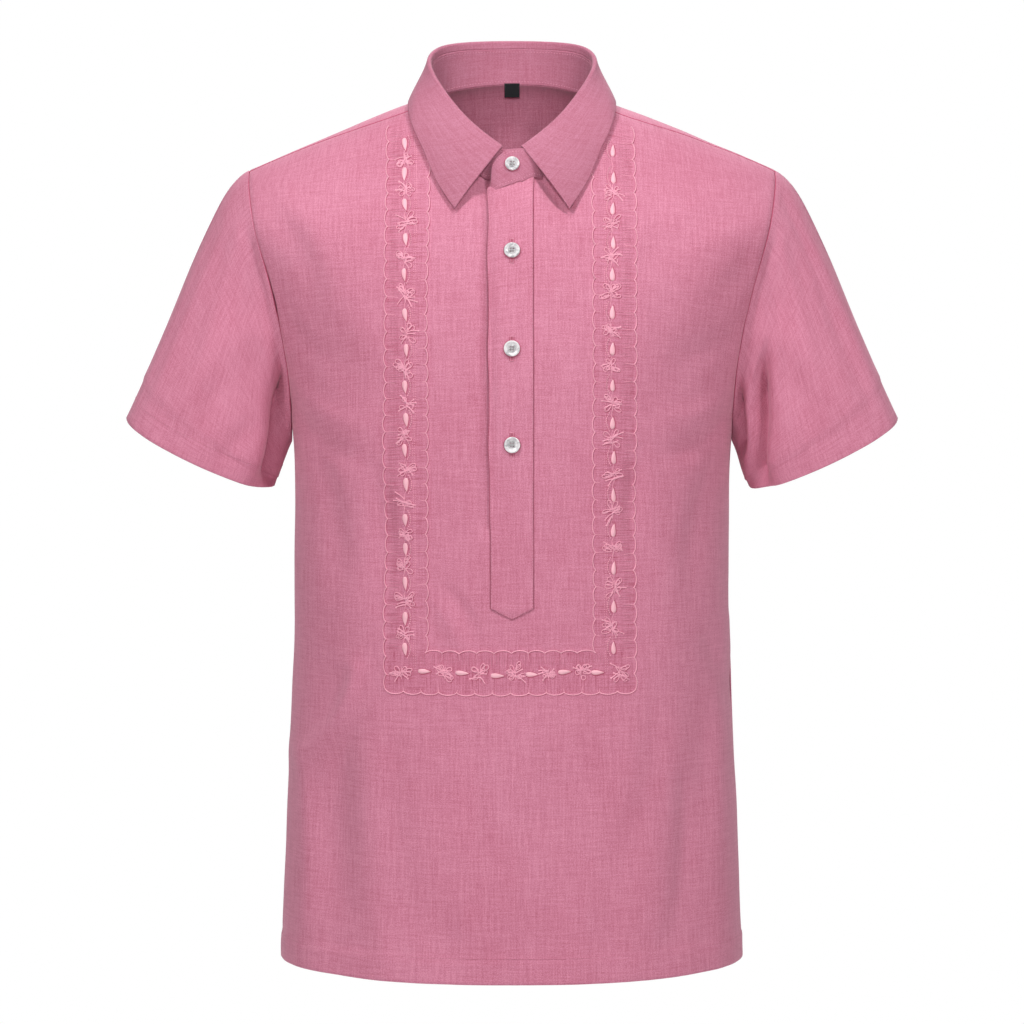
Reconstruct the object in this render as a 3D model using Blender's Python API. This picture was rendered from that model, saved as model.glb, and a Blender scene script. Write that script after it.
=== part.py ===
"""Short-sleeved barong tagalog, filled out as it hangs on a wearer.

Every cloth piece is a wall cut from one smooth surface: the body runs from the front hem, up over the
shoulders and down to the back hem, and the armholes, yoke seams and neckline are curves drawn on it.
The sleeves, stand, collar leaf, placket, buttons, label and embroidered bands are built from those curves.

Frame: +X to the wearer's left, -Y to the front, +Z up. The origin is in the middle of the neck opening,
level with the shoulder seams at the neck. Lengths in the tables are millimetres.
"""

import math

import bmesh
import bpy
import numpy as np

MM = 0.001

# Walls and clearances
CLOTH = 1.2 * MM
PLACKET_CLOTH = 1.2 * MM
STAND_CLOTH = 2.0 * MM
LEAF_CLOTH = 1.6 * MM
EMBROIDERY_CLOTH = 0.5 * MM
SEAM_GAP = 0.3 * MM
LAYER_GAP = 0.35 * MM
PLACKET_GAP = 0.55 * MM
BAND_GAP = 0.8 * MM

# Body: one row for each section from the front hem, over the shoulders, to the back hem.
# side_z says where the section leaves the side line, mid_y and mid_z give its middle.
# squareness 2 is an ellipse and more is squarer; drop is the power of the height across the section.
SECTION_COLUMNS = ("side_z", "mid_y", "mid_z", "squareness", "drop")
BODY_SECTIONS = {
    "front hem": (-748, -142.5, -751, 2.35, 2.0),
    "front low": (-620, -140, -620, 2.35, 2.0),
    "front hip": (-500, -137, -500, 2.35, 2.0),
    "front waist": (-400, -135, -400, 2.35, 2.0),
    "front rib": (-345, -134, -341, 2.4, 2.0),
    "front armpit": (-293, -132, -274, 2.4, 2.0),
    "front arm": (-235, -127, -222, 2.5, 2.0),
    "front underarm": (-190, -118.5, -178, 2.75, 2.0),
    "front chest": (-142, -104, -130, 2.9, 2.0),
    "front upper chest": (-106, -88, -98, 3.0, 1.8),
    "front collar bone": (-80, -57.5, -54, 3.0, 1.6),
    "front shoulder": (-66, -30, -3, 3.0, 1.3),
    "shoulder ridge": (-56, 0, 20.2, 3.0, 1.2),
    "back shoulder": (-65, 40, 26, 3.0, 1.15),
    "back nape": (-80, 66, 18, 2.8, 1.35),
    "back yoke": (-106, 90, -14, 2.9, 1.7),
    "back blade": (-142, 108, -60, 2.9, 2.0),
    "back underarm": (-190, 121, -125, 2.75, 2.0),
    "back arm": (-235, 126, -195, 2.5, 2.0),
    "back armpit": (-293, 127, -260, 2.4, 2.0),
    "back rib": (-345, 125, -337, 2.4, 2.0),
    "back waist": (-400, 122, -400, 2.35, 2.0),
    "back hip": (-500, 122, -500, 2.35, 2.0),
    "back low": (-620, 128, -620, 2.35, 2.0),
    "back hem": (-748, 134, -748, 2.35, 2.0),
}

# The side line, shared by front and back: up the side seam, on under the sleeve to the shoulder's end.
SIDE_COLUMNS = ("half_width", "y", "z")
SIDE_LINE = {
    "hem": (203.0, 0, -748),
    "low": (198.5, 0, -620),
    "hip": (193.5, 0, -500),
    "waist": (190.6, 0, -400),
    "rib": (190.6, 2, -345),
    "armpit": (191.8, 4, -293),
    "deep arm": (206.5, 6, -222),
    "underarm": (219.5, 7, -190),
    "arm": (241.0, 8, -142),
    "upper arm": (252.0, 8, -106),
    "shoulder": (248.5, 8, -80),
    "shoulder top": (241.0, 8, -65),
    "shoulder end": (231.5, 8, -56),
}

# Broad soft folds of the body cloth: the line of each trough (x, z), its width and its depth.
FOLD_COLUMNS = ("top_x", "top_z", "bottom_x", "bottom_z", "width", "depth")
FRONT_FOLDS = {
    "right side hollow": (-164, -455, -152, -735, 24, 4.5),
    "left side hollow": (168, -430, 157, -730, 24, 3.5),
    "right armhole drag": (-196, -150, -128, -245, 22, 2.5),
    "left chest drag": (192, -165, 130, -250, 22, 2.5),
    "right tail drag": (-75, -430, -30, -500, 14, 1.2),
}
BACK_FOLDS = {
    "right back hollow": (-120, -300, -140, -735, 30, 4.5),
    "left back hollow": (112, -330, 135, -735, 28, 5.0),
    "right blade drag": (-190, -165, -110, -260, 24, 3.0),
    "left blade drag": (190, -175, 116, -270, 24, 2.5),
}

# The left armhole (x, y, z in mm), from the armpit up the front, over the shoulder and down the back.
ARMHOLE = {
    "armpit": (191.8, 4, -293),
    "front low": (192.6, -21, -262),
    "front lower": (196.5, -40, -219),
    "front notch": (203.0, -49.5, -186),
    "front middle": (213.5, -53.5, -144),
    "front high": (222.5, -46.5, -108),
    "front shoulder": (227.8, -32, -84),
    "front tip": (230.0, -14, -67.5),
    "yoke seam": (230.4, 1.8, -57.2),
    "shoulder tip": (230.7, 12, -56.6),
    "back tip": (230.6, 28, -65.5),
    "back shoulder": (228.5, 44.5, -84),
    "back high": (224.5, 54.5, -108),
    "back middle": (215.5, 57.5, -144),
    "back notch": (204.0, 53.5, -186),
    "back lower": (197.0, 43.5, -219),
    "back low": (193.0, 25, -262),
    "armpit again": (191.8, 4, -293),
}

# Yoke: its front seam lies forward of the shoulder ridge, its back seam crosses below the collar.
YOKE_FRONT_SEAM = ((92, -13, -8), (150, -9, -28), (201, -3, -44.5))
YOKE_NECK_POINT = (76, -9, -2.5)
YOKE_BACK_MID_Z = -62 * MM
YOKE_BACK_SIDE = (222, 56, -101)

# Collar: one row for each station of the left half, from the middle of the back to the front.
# The stand rises from the neckline (x, y), the leaf turns over at the fold and ends at its edge.
COLLAR_COLUMNS = ("neck_x", "neck_y", "fold_x", "fold_y", "fold_z", "edge_x", "edge_y", "edge_z", "lift")
COLLAR_STATIONS = {
    "back": (0, 56, 0, 53, 60.4, 0, 77, 12, 2.4),
    "back quarter": (42, 50, 42, 47, 58.8, 46, 71, 10, 2.4),
    "side back": (66, 33, 64.5, 30, 53.4, 74, 46, 5, 2.6),
    "side": (75.5, 10, 72.4, 10, 43.2, 86.8, 13, 1, 3.6),
    "side front": (73, -14, 69, -10, 29.5, 88, -26, -16.5, 4.9),
    "front quarter": (60, -38, 56, -29, 9, 82, -50, -38, 4.4),
    "front": (38, -56, 37, -45.5, -13.5, 71, -74, -59, 4.0),
    "front end": (8, -65, 8, -60, -37, 49.5, -101, -86, 4.0),
}
ROLL_RADIUS = 2.6 * MM
LEAF_LEG_BACK = 5.0 * MM
LEAF_LEG_FRONT = 0.8 * MM
LEAF_LEG_TURN = 0.35
LEAF_SEAT_GAP = 0.1 * MM
LEAF_ROLL = np.radians((180, 120, 60, 0))
LEAF_ROWS = 6
LEAF_BOW = 0.3
LEAF_FULLNESS = 0.15
STAND_END_X = 17.5 * MM
STAND_LAP = 1.75 * MM
STAND_LAP_START = 0.7
STAND_LAP_LIFT = 0.7
STAND_LIFT = 1.4 * MM
STAND_END_Z = -70.3 * MM
STAND_UNDER_END_Z = -61.0 * MM
STAND_END_LEAN = 0.5 * MM
STAND_END_OUT = 2.1 * MM
STAND_END_SPANS = 3
STAND_END_ROUND = 11 * MM
STAND_ROUND_START = 0.45

# Placket
PLACKET_HALF = 18.3 * MM
SLOT_HALF = 15.4 * MM
SLOT_BOTTOM_Z = -366 * MM
PLACKET_LAP_END_Z = -369 * MM
PLACKET_SHOULDER_Z = -430 * MM
PLACKET_POINT_Z = -439 * MM
UNDER_PLACKET_BOTTOM_Z = -372 * MM
PLACKET_TOP_DROP = 0.1 * MM
PLACKET_TAIL_STEP = 0.4 * MM
UNDER_PLACKET_DROP = 4.5 * MM
NECK_FRONT_Y = -66.0 * MM
NECK_FRONT_Z = -66.3 * MM
NECK_LAP_SLOPE = 0.24

# Buttons
BUTTON_RADIUS = 7.0 * MM
COLLAR_BUTTON_RADIUS = 6.4 * MM
BUTTON_THICK = 2.4 * MM
BUTTON_HOLE_RADIUS = 0.75 * MM
BUTTON_HOLE_REACH = 1.7 * MM
PLACKET_BUTTONS_Z = {"upper": -128.0 * MM, "middle": -210.5 * MM, "lower": -291.5 * MM}
COLLAR_BUTTON_Z = -52.4 * MM

# Embroidered U
BAND_CENTRE_X = -1.5 * MM
BAND_OFFSET_X = 88.7 * MM
BAND_HALF = 16.6 * MM
BAND_BOTTOM_Z = -485.0 * MM
SCALLOP_PITCH = 14.6 * MM
SCALLOP_DEPTH = 2.4 * MM
SCALLOP_STEPS = 4
BAND_TOP_LIFT = 0.5 * MM
BAND_TOP_LIFT_POWER = 6
BAND_TOP_DROP = np.array((16, 9, 4)) * MM

# Neck label
LABEL_SIZE = (14 * MM, 13 * MM)
LABEL_TUCK = 1.5 * MM
LABEL_CLOTH = 0.6 * MM

# Sleeves, on the +X side: the cuff ring's middle, half sizes and the way the sleeve runs.
CUFF_CENTRE = np.array((274.5, 2, -302.5)) * MM
CUFF_HALF_WIDTH = 72.5 * MM
CUFF_HALF_DEPTH = 54.0 * MM
SLEEVE_LEAN = math.radians(25.5)
CUFF_FRONT_DROP = 9.0 * MM
SLEEVE_HEAD_REACH = 31 * MM
SLEEVE_HEAD_SHARE = 0.4
SLEEVE_RUN_SHARE = 0.55
SLEEVE_ROW_POWER = 1.15
SLEEVE_FOLD_FADE = 0.3
# Folds of a sleeve: the trough runs from one turn about the sleeve (0 at the armpit, half at the top)
# and share of its length to another; width is a share of the turn, depth is in mm.
SLEEVE_FOLD_COLUMNS = ("from_turn", "from_along", "to_turn", "to_along", "width", "depth")
SLEEVE_FOLDS = {
    "front drag": (0.22, 0.15, 0.34, 0.95, 0.035, 3.0),
    "front inner": (0.10, 0.35, 0.14, 1.0, 0.03, 2.5),
    "outer drag": (0.44, 0.30, 0.40, 1.0, 0.04, 2.0),
    "back drag": (0.72, 0.20, 0.68, 1.0, 0.04, 3.0),
}

# How the body's surface is shaped: how round its middle stays, how far from the shoulder ridge the
# folds fade in, and how deep a fold is at its ends.
MID_SOFTNESS = 0.12
FOLD_FADE = 60 * MM
FOLD_END_SHARE = 0.55

# Outline corners sharper than this are not drawn in further.
MITRE_LIMIT = 0.4

# Mesh divisions
SIDE_COLUMNS_NECK = 5
SIDE_COLUMNS_SEAM = 6
SLOT_COLUMNS = 4
FRONT_ROWS = (15, 5, 12)
BACK_ROWS = (15, 8)
YOKE_COLUMNS = (5, 16, 5)
SLEEVE_ROWS = 11
STAND_SPANS = 30
LEAF_SPANS = 30
STAND_ROWS = 3
PLACKET_ROWS = 18
PLACKET_TAIL_ROWS = 5
BUTTON_SIDES = 18

CLOTH_COLOUR = (0.55, 0.20, 0.29)
TRIM_COLOUR = (0.58, 0.22, 0.31)
THREAD_COLOUR = (0.66, 0.30, 0.39)
PEARL_COLOUR = (0.78, 0.76, 0.76)
LABEL_COLOUR = (0.012, 0.012, 0.014)


# ---------------------------------------------------------------- curves and surfaces


def cubic_spline(knots, values, at):
    """The natural cubic spline through values (a row for each knot), read at the places in at."""
    knots = np.asarray(knots, float)
    values = np.asarray(values, float)
    count = len(knots)
    step = np.diff(knots)
    matrix = np.eye(count)
    right = np.zeros_like(values)
    for i in range(1, count - 1):
        matrix[i, i - 1] = step[i - 1]
        matrix[i, i] = 2 * (step[i - 1] + step[i])
        matrix[i, i + 1] = step[i]
        rise = (values[i + 1] - values[i]) / step[i]
        rise_before = (values[i] - values[i - 1]) / step[i - 1]
        right[i] = 6 * (rise - rise_before)
    bend = np.linalg.solve(matrix, right)
    at = np.clip(np.asarray(at, float), knots[0], knots[-1])
    low = np.clip(np.searchsorted(knots, at, side="right") - 1, 0, count - 2)
    wide = step[low][..., None]
    back = (knots[low + 1] - at)[..., None]
    ahead = (at - knots[low])[..., None]
    curved = (bend[low] * back**3 + bend[low + 1] * ahead**3) / (6 * wide)
    straight_low = (values[low] / wide - bend[low] * wide / 6) * back
    straight_high = (values[low + 1] / wide - bend[low + 1] * wide / 6) * ahead
    return curved + straight_low + straight_high


def chord_lengths(points):
    """How far along its chords each point of a line lies."""
    return np.concatenate(([0.0], np.cumsum(np.linalg.norm(np.diff(points, axis=0), axis=1))))


def unit(vectors):
    return vectors / np.maximum(np.linalg.norm(vectors, axis=-1, keepdims=True), 1e-12)


def read_table(table, columns):
    """A table's columns by name, each with one value for every row."""
    rows = np.array(list(table.values()), float)
    return {name: rows[:, number] for number, name in enumerate(columns)}


SIDE = read_table(SIDE_LINE, SIDE_COLUMNS)
SIDE_POINTS = np.stack([SIDE[name] * MM for name in SIDE_COLUMNS], axis=-1)
SIDE_KNOTS = chord_lengths(SIDE_POINTS)
SECTION = read_table(BODY_SECTIONS, SECTION_COLUMNS)
SECTION_MIDDLES = np.stack((SECTION["mid_y"], SECTION["mid_z"]), axis=-1) * MM
SECTION_KNOTS = chord_lengths(SECTION_MIDDLES)
SECTION_SIDES = np.interp(SECTION["side_z"], SIDE["z"], SIDE_KNOTS)
SECTION_FORMS = np.column_stack((SECTION_SIDES, SECTION_MIDDLES, SECTION["squareness"], SECTION["drop"]))
SECTION_PLACES = dict(zip(BODY_SECTIONS, SECTION_KNOTS))
RIDGE = SECTION_PLACES["shoulder ridge"]
BODY_END = SECTION_PLACES["back hem"]


def section_at(along):
    """The side point, middle (y, z), squareness and drop of the section at along."""
    row = cubic_spline(SECTION_KNOTS, SECTION_FORMS, along)
    return cubic_spline(SIDE_KNOTS, SIDE_POINTS, row[..., 0]), row[..., 1:3], row[..., 3], row[..., 4]


def smooth_section(across, along):
    """The body surface without its folds: across is -1 to 1 from side to side, along runs front to back."""
    across, along = np.broadcast_arrays(np.asarray(across, float), np.asarray(along, float))
    side, middle, squareness, drop = section_at(along)
    share = np.clip(np.sin(0.5 * np.pi * np.abs(np.clip(across, -1, 1))), 0, 1)
    x = np.sign(across) * side[..., 0] * share
    y = side[..., 1] + (middle[..., 0] - side[..., 1]) * np.sqrt(np.clip(1 - share**squareness, 0, 1))
    soft = np.sqrt(share**2 + MID_SOFTNESS**2) - MID_SOFTNESS
    soft /= math.sqrt(1 + MID_SOFTNESS**2) - MID_SOFTNESS
    z = side[..., 2] + (middle[..., 1] - side[..., 2]) * (1 - soft**drop)
    return np.stack((x, y, z), axis=-1)


def trough(points, folds):
    """How deep the folds press the cloth in at points, each fold a soft trough along its line."""
    deep = np.zeros(points.shape[:-1])
    for row in folds.values():
        fold = dict(zip(FOLD_COLUMNS, np.array(row) * MM))
        top = np.array((fold["top_x"], fold["top_z"]))
        run = np.array((fold["bottom_x"], fold["bottom_z"])) - top
        away = points[..., [0, 2]] - top
        share = np.clip((away @ run) / (run @ run), 0, 1)
        aside = np.linalg.norm(away - share[..., None] * run, axis=-1)
        swell = FOLD_END_SHARE + (1 - FOLD_END_SHARE) * np.sin(np.pi * share)
        deep += fold["depth"] * swell * np.exp(-((aside / fold["width"]) ** 2))
    return deep


def surface_normals(surface, across, along):
    """Outward unit normals of a surface by small differences."""
    step_across, step_along = 0.002, 0.5 * MM
    low, high = np.clip(across - step_across, -1, 1), np.clip(across + step_across, -1, 1)
    before, after = np.clip(along - step_along, 0, BODY_END), np.clip(along + step_along, 0, BODY_END)
    along_x = surface(high, along) - surface(low, along)
    along_run = surface(across, after) - surface(across, before)
    return unit(np.cross(along_x, along_run))


def body(across, along):
    """The middle of the body cloth, folds included."""
    across, along = np.broadcast_arrays(np.asarray(across, float), np.asarray(along, float))
    points = smooth_section(across, along)
    normals = surface_normals(smooth_section, across, along)
    front_share = np.clip((RIDGE - along) / FOLD_FADE, 0, 1)
    back_share = np.clip((along - RIDGE) / FOLD_FADE, 0, 1)
    deep = front_share * trough(points, FRONT_FOLDS) + back_share * trough(points, BACK_FOLDS)
    return points - normals * deep[..., None]


def body_normals(across, along):
    return surface_normals(body, np.asarray(across, float), np.asarray(along, float))


def across_at(x, along):
    """Where the section at along reaches x."""
    half_width = section_at(along)[0][..., 0]
    return 2 / np.pi * np.arcsin(np.clip(x / half_width, -1, 1))


def along_at(x, z):
    """Where the line at x on the front is as high as z."""
    runs = np.linspace(0, RIDGE, 1500)
    heights = smooth_section(across_at(x, runs), runs)[..., 2]
    return float(np.interp(z, heights, runs))


GRID_ACROSS = np.linspace(-1, 1, 161)
GRID_ALONG = np.linspace(0, BODY_END, 700)
GRID_POINTS = smooth_section(GRID_ACROSS[None, :], GRID_ALONG[:, None])


def locate(target):
    """The (across, along) of the surface point nearest to a point."""
    target = np.asarray(target, float)
    nearest = np.argmin(((GRID_POINTS - target) ** 2).sum(-1))
    row, column = np.unravel_index(nearest, GRID_POINTS.shape[:2])
    place = np.array((GRID_ACROSS[column], GRID_ALONG[row]))
    aside = np.array((0.001, 0))
    ahead = np.array((0, 0.2 * MM))
    for _ in range(8):
        by_across = (smooth_section(*(place + aside)) - smooth_section(*(place - aside))) / (2 * aside[0])
        by_along = (smooth_section(*(place + ahead)) - smooth_section(*(place - ahead))) / (2 * ahead[1])
        slopes = np.stack((by_across, by_along), axis=1)
        move = np.linalg.lstsq(slopes, target - smooth_section(*place), rcond=None)[0]
        place = place + np.clip(move, (-0.05, -0.01), (0.05, 0.01))
        place = np.clip(place, (-1, 0), (1, BODY_END))
    return place


def surface_line(stations, count):
    """A smooth line on the body through stations (across, along), as count evenly spaced stations."""
    stations = np.asarray(stations, float)
    reach = chord_lengths(smooth_section(stations[:, 0], stations[:, 1]))
    fine = cubic_spline(reach, stations, np.linspace(0, reach[-1], 400))
    return resample(fine, count)


def seam_line(points_mm, count):
    """A smooth line in space through points, laid on the body, as count evenly spaced stations."""
    points = np.array(points_mm, float) * MM
    reach = chord_lengths(points)
    fine = cubic_spline(reach, points, np.linspace(0, reach[-1], count))
    return resample(np.array([locate(point) for point in fine]), count)


def resample(stations, count):
    """Evenly spaced stations along a line that is already on the body."""
    run = chord_lengths(smooth_section(stations[:, 0], stations[:, 1]))
    even = np.linspace(0, run[-1], count)
    return np.stack((np.interp(even, run, stations[:, 0]), np.interp(even, run, stations[:, 1])), axis=-1)


def blend_patch(bottom, top, left, right):
    """Fills a four-sided region of (across, along) between its edges, rows by columns."""
    rows, columns = len(left), len(bottom)
    up = np.linspace(0, 1, rows)[:, None, None]
    over = np.linspace(0, 1, columns)[None, :, None]
    between_rows = (1 - up) * bottom[None] + up * top[None]
    between_columns = (1 - over) * left[:, None] + over * right[:, None]
    low_corners = (1 - over) * bottom[0] + over * bottom[-1]
    high_corners = (1 - over) * top[0] + over * top[-1]
    return between_rows + between_columns - (1 - up) * low_corners - up * high_corners


def mirrored(stations):
    return np.asarray(stations) * np.array((-1.0, 1.0))


# ---------------------------------------------------------------- solids


def clear_scene():
    for item in list(bpy.data.objects):
        bpy.data.objects.remove(item, do_unlink=True)


def material(name, colour, roughness):
    made = bpy.data.materials.new(name)
    made.use_nodes = True
    shader = made.node_tree.nodes["Principled BSDF"]
    shader.inputs["Base Color"].default_value = (*colour, 1.0)
    shader.inputs["Roughness"].default_value = roughness
    shader.inputs["Metallic"].default_value = 0.0
    made.diffuse_color = (*colour, 1.0)
    return made


def add_object(name, points, faces, colour, roughness=0.85):
    """One named closed solid with its own material."""
    mesh = bpy.data.meshes.new(name)
    mesh.from_pydata([tuple(map(float, point)) for point in points], [], faces)
    shell = bmesh.new()
    shell.from_mesh(mesh)
    bmesh.ops.recalc_face_normals(shell, faces=shell.faces)
    shell.to_mesh(mesh)
    shell.free()
    mesh.shade_smooth()
    mesh.set_sharp_from_angle(angle=math.radians(40))
    made = bpy.data.objects.new(name, mesh)
    made.data.materials.append(material(name + "_finish", colour, roughness))
    bpy.context.scene.collection.objects.link(made)
    return made


def grid_normals(points, closed):
    """Unit normals of a grid of points, rows by columns; closed joins the last column to the first."""
    if closed:
        over = np.roll(points, -1, axis=1) - np.roll(points, 1, axis=1)
    else:
        over = np.gradient(points, axis=1)
    up = np.gradient(points, axis=0)
    return unit(np.cross(over, up))


def cell_corners(row, column, columns, closed):
    beside = (column + 1) % columns if closed else column + 1
    return ((row, column), (row, beside), (row + 1, beside), (row + 1, column))


def outline_edges(cells, columns, closed):
    """The grid's outline: each edge that belongs to one kept cell only, with that cell."""
    owners = {}
    for row, column in np.argwhere(cells):
        ring = cell_corners(row, column, columns, closed)
        for first, second in zip(ring, ring[1:] + ring[:1]):
            owners.setdefault(frozenset((first, second)), []).append((first, second, ring))
    return [found[0] for found in owners.values() if len(found) == 1]


def draw_in(points, normals, edges, distance):
    """Moves the outline inward along the cloth by distance, mitred at its corners."""
    pulls = {}
    for first, second, ring in edges:
        centre = sum(points[corner] for corner in ring) / 4
        inward = unit(np.cross(normals[first] + normals[second], points[second] - points[first]))
        if inward @ (centre - points[first]) < 0:
            inward = -inward
        for corner in (first, second):
            pulls.setdefault(corner, []).append(inward)
    moved = points.copy()
    for corner, pull in pulls.items():
        total = sum(pull)
        scale = 1 if len(pull) == 1 else 1 / max(float(total @ total) / len(pull), MITRE_LIMIT)
        moved[corner] = points[corner] + total * scale * distance
    return moved


def wall(name, points, normals, thickness, colour, cells=None, closed=False, seam=SEAM_GAP / 2):
    """A closed wall of even thickness about a grid of points; cells marks which grid cells are cloth."""
    rows, columns = points.shape[:2]
    if cells is None:
        cells = np.ones((rows - 1, columns if closed else columns - 1), bool)
    edges = outline_edges(cells, columns, closed)
    if seam:
        points = draw_in(points, normals, edges, seam)
    rings = [cell_corners(row, column, columns, closed) for row, column in np.argwhere(cells)]
    used = sorted({corner for ring in rings for corner in ring})
    index = {corner: number for number, corner in enumerate(used)}
    shift = len(used)
    outer = [points[corner] + normals[corner] * thickness / 2 for corner in used]
    inner = [points[corner] - normals[corner] * thickness / 2 for corner in used]
    faces = []
    for ring in rings:
        numbers = [index[corner] for corner in ring]
        faces.append(numbers)
        faces.append([shift + number for number in reversed(numbers)])
    for first, second, _ in edges:
        low, high = index[first], index[second]
        faces.append([high, low, shift + low, shift + high])
    return add_object(name, outer + inner, faces, colour)


# ---------------------------------------------------------------- seam lines on the body

ARMPIT = np.array((1.0, SECTION_PLACES["front armpit"]))
ARMPIT_BACK = np.array((1.0, SECTION_PLACES["back armpit"]))


def plan_station(x, y):
    """The (across, along) of the top of the body seen from above at x, y."""
    runs = np.linspace(SECTION_PLACES["front chest"], SECTION_PLACES["back blade"], 1200)
    places = smooth_section(across_at(x, runs), runs)
    run = float(np.interp(y, places[..., 1], runs))
    return np.array((float(across_at(x, run)), run))


def nearest_station(line, point_mm):
    """Which station of a line on the body is nearest to a point."""
    return int(np.argmin(((smooth_section(*line.T) / MM - point_mm) ** 2).sum(-1)))


COLLAR = {name: values * MM for name, values in read_table(COLLAR_STATIONS, COLLAR_COLUMNS).items()}
NECK_HALF = [plan_station(x, y) for x, y in zip(COLLAR["neck_x"], COLLAR["neck_y"])]
NECK_LINE = surface_line(NECK_HALF + [plan_station(0.0, NECK_FRONT_Y)], 241)
YOKE_NECK_INDEX = nearest_station(NECK_LINE, YOKE_NECK_POINT)
YOKE_NECK = NECK_LINE[YOKE_NECK_INDEX]
ARMHOLE_LINE = seam_line(list(ARMHOLE.values()), 181)
YOKE_TIP = nearest_station(ARMHOLE_LINE, ARMHOLE["yoke seam"])
ARM_FRONT = np.vstack((ARMPIT, ARMHOLE_LINE[1 : YOKE_TIP + 1]))
ARM_BACK = np.vstack((ARMPIT_BACK, ARMHOLE_LINE[-2 : YOKE_TIP - 1 : -1]))
YOKE_SEAM = seam_line([smooth_section(*YOKE_NECK) / MM, *YOKE_FRONT_SEAM, ARMHOLE["yoke seam"]], 61)
YOKE_SEAM[0] = YOKE_NECK
YOKE_SEAM[-1] = ARM_FRONT[-1]


def neck_station_at(x):
    """The station of the front neckline at x."""
    front = NECK_LINE[YOKE_NECK_INDEX:]
    places = smooth_section(front[:, 0], front[:, 1])
    order = np.argsort(places[:, 0])
    return np.array([np.interp(x, places[order, 0], front[order, column]) for column in (0, 1)])


def joined(*lines):
    """Lines end to end, with the shared stations kept once."""
    return np.vstack([lines[0]] + [line[1:] for line in lines[1:]])


# ---------------------------------------------------------------- body panels


def front_half_stations():
    """The left half of the front, from the slot's edge to the side seam and armhole."""
    low_rows, mid_rows, arm_rows = FRONT_ROWS
    rows = low_rows + mid_rows + arm_rows
    slot_top = neck_station_at(SLOT_HALF)
    slot_run = along_at(SLOT_HALF, SLOT_BOTTOM_Z)
    runs = joined(
        np.linspace(0, slot_run, low_rows + 1)[:, None],
        np.linspace(slot_run, slot_top[1], rows - low_rows + 1)[:, None],
    )[:, 0]
    inner = np.stack((across_at(SLOT_HALF, runs), runs), axis=-1)
    seam_runs = np.linspace(0, ARMPIT[1], low_rows + mid_rows + 1)
    outer = joined(np.stack((np.ones_like(seam_runs), seam_runs), axis=-1), resample(ARM_FRONT, arm_rows + 1))
    neck_part = NECK_LINE[YOKE_NECK_INDEX:]
    cut = int(np.searchsorted(-neck_part[:, 0], -slot_top[0]))
    neck_part = np.vstack((neck_part[:cut], slot_top))[::-1]
    top = joined(resample(neck_part, SIDE_COLUMNS_NECK + 1), resample(YOKE_SEAM, SIDE_COLUMNS_SEAM + 1))
    bottom_across = np.linspace(inner[0, 0], 1, SIDE_COLUMNS_NECK + SIDE_COLUMNS_SEAM + 1)
    bottom = np.stack((bottom_across, np.zeros_like(bottom_across)), axis=-1)
    return blend_patch(bottom, top, inner, outer)


def make_front():
    """The front: whole below the placket, slit for it above, cut away for neck and arms."""
    half = front_half_stations()
    other = mirrored(half)[:, ::-1]
    steps = np.linspace(-1, 1, SLOT_COLUMNS + 1)[1:-1]
    middle = np.stack([half[:, 0] * np.array((step, 1)) for step in steps], axis=1)
    grid = np.concatenate((other, middle, half), axis=1)
    cells = np.ones((grid.shape[0] - 1, grid.shape[1] - 1), bool)
    first_slot = other.shape[1] - 1
    cells[FRONT_ROWS[0]:, first_slot:first_slot + SLOT_COLUMNS] = False
    across, along = grid[..., 0], grid[..., 1]
    return wall("front", body(across, along), body_normals(across, along), CLOTH, CLOTH_COLOUR, cells)


def yoke_back_stations():
    """The yoke's back seam from the right armhole to the left one."""
    nearest = ARM_BACK[nearest_station(ARM_BACK, YOKE_BACK_SIDE)]
    runs = np.linspace(RIDGE, BODY_END, 1500)
    heights = smooth_section(0.0, runs)[..., 2]
    mid_run = float(np.interp(-YOKE_BACK_MID_Z, -heights[np.argmax(heights):], runs[np.argmax(heights):]))
    share = np.linspace(-1, 1, 161)
    along = mid_run + (nearest[1] - mid_run) * share**2
    return np.stack((share * nearest[0], along), axis=-1), nearest


YOKE_BACK_SEAM, YOKE_CORNER = yoke_back_stations()
CORNER_INDEX = nearest_station(ARM_BACK, smooth_section(*YOKE_CORNER) / MM)


def make_back():
    body_rows, arm_rows = BACK_ROWS
    side_runs = np.linspace(BODY_END, ARMPIT_BACK[1], body_rows + 1)
    side = joined(
        np.stack((np.ones_like(side_runs), side_runs), axis=-1),
        resample(ARM_BACK[: CORNER_INDEX + 1], arm_rows + 1),
    )
    columns = YOKE_COLUMNS[1]
    top = resample(YOKE_BACK_SEAM, columns + 1)
    hem_across = np.linspace(-1, 1, columns + 1)
    bottom = np.stack((hem_across, np.full_like(hem_across, BODY_END)), axis=-1)
    grid = blend_patch(bottom, top, mirrored(side), side)
    across, along = grid[..., 0], grid[..., 1]
    return wall("back", body(across, along), body_normals(across, along), CLOTH, CLOTH_COLOUR)


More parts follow.
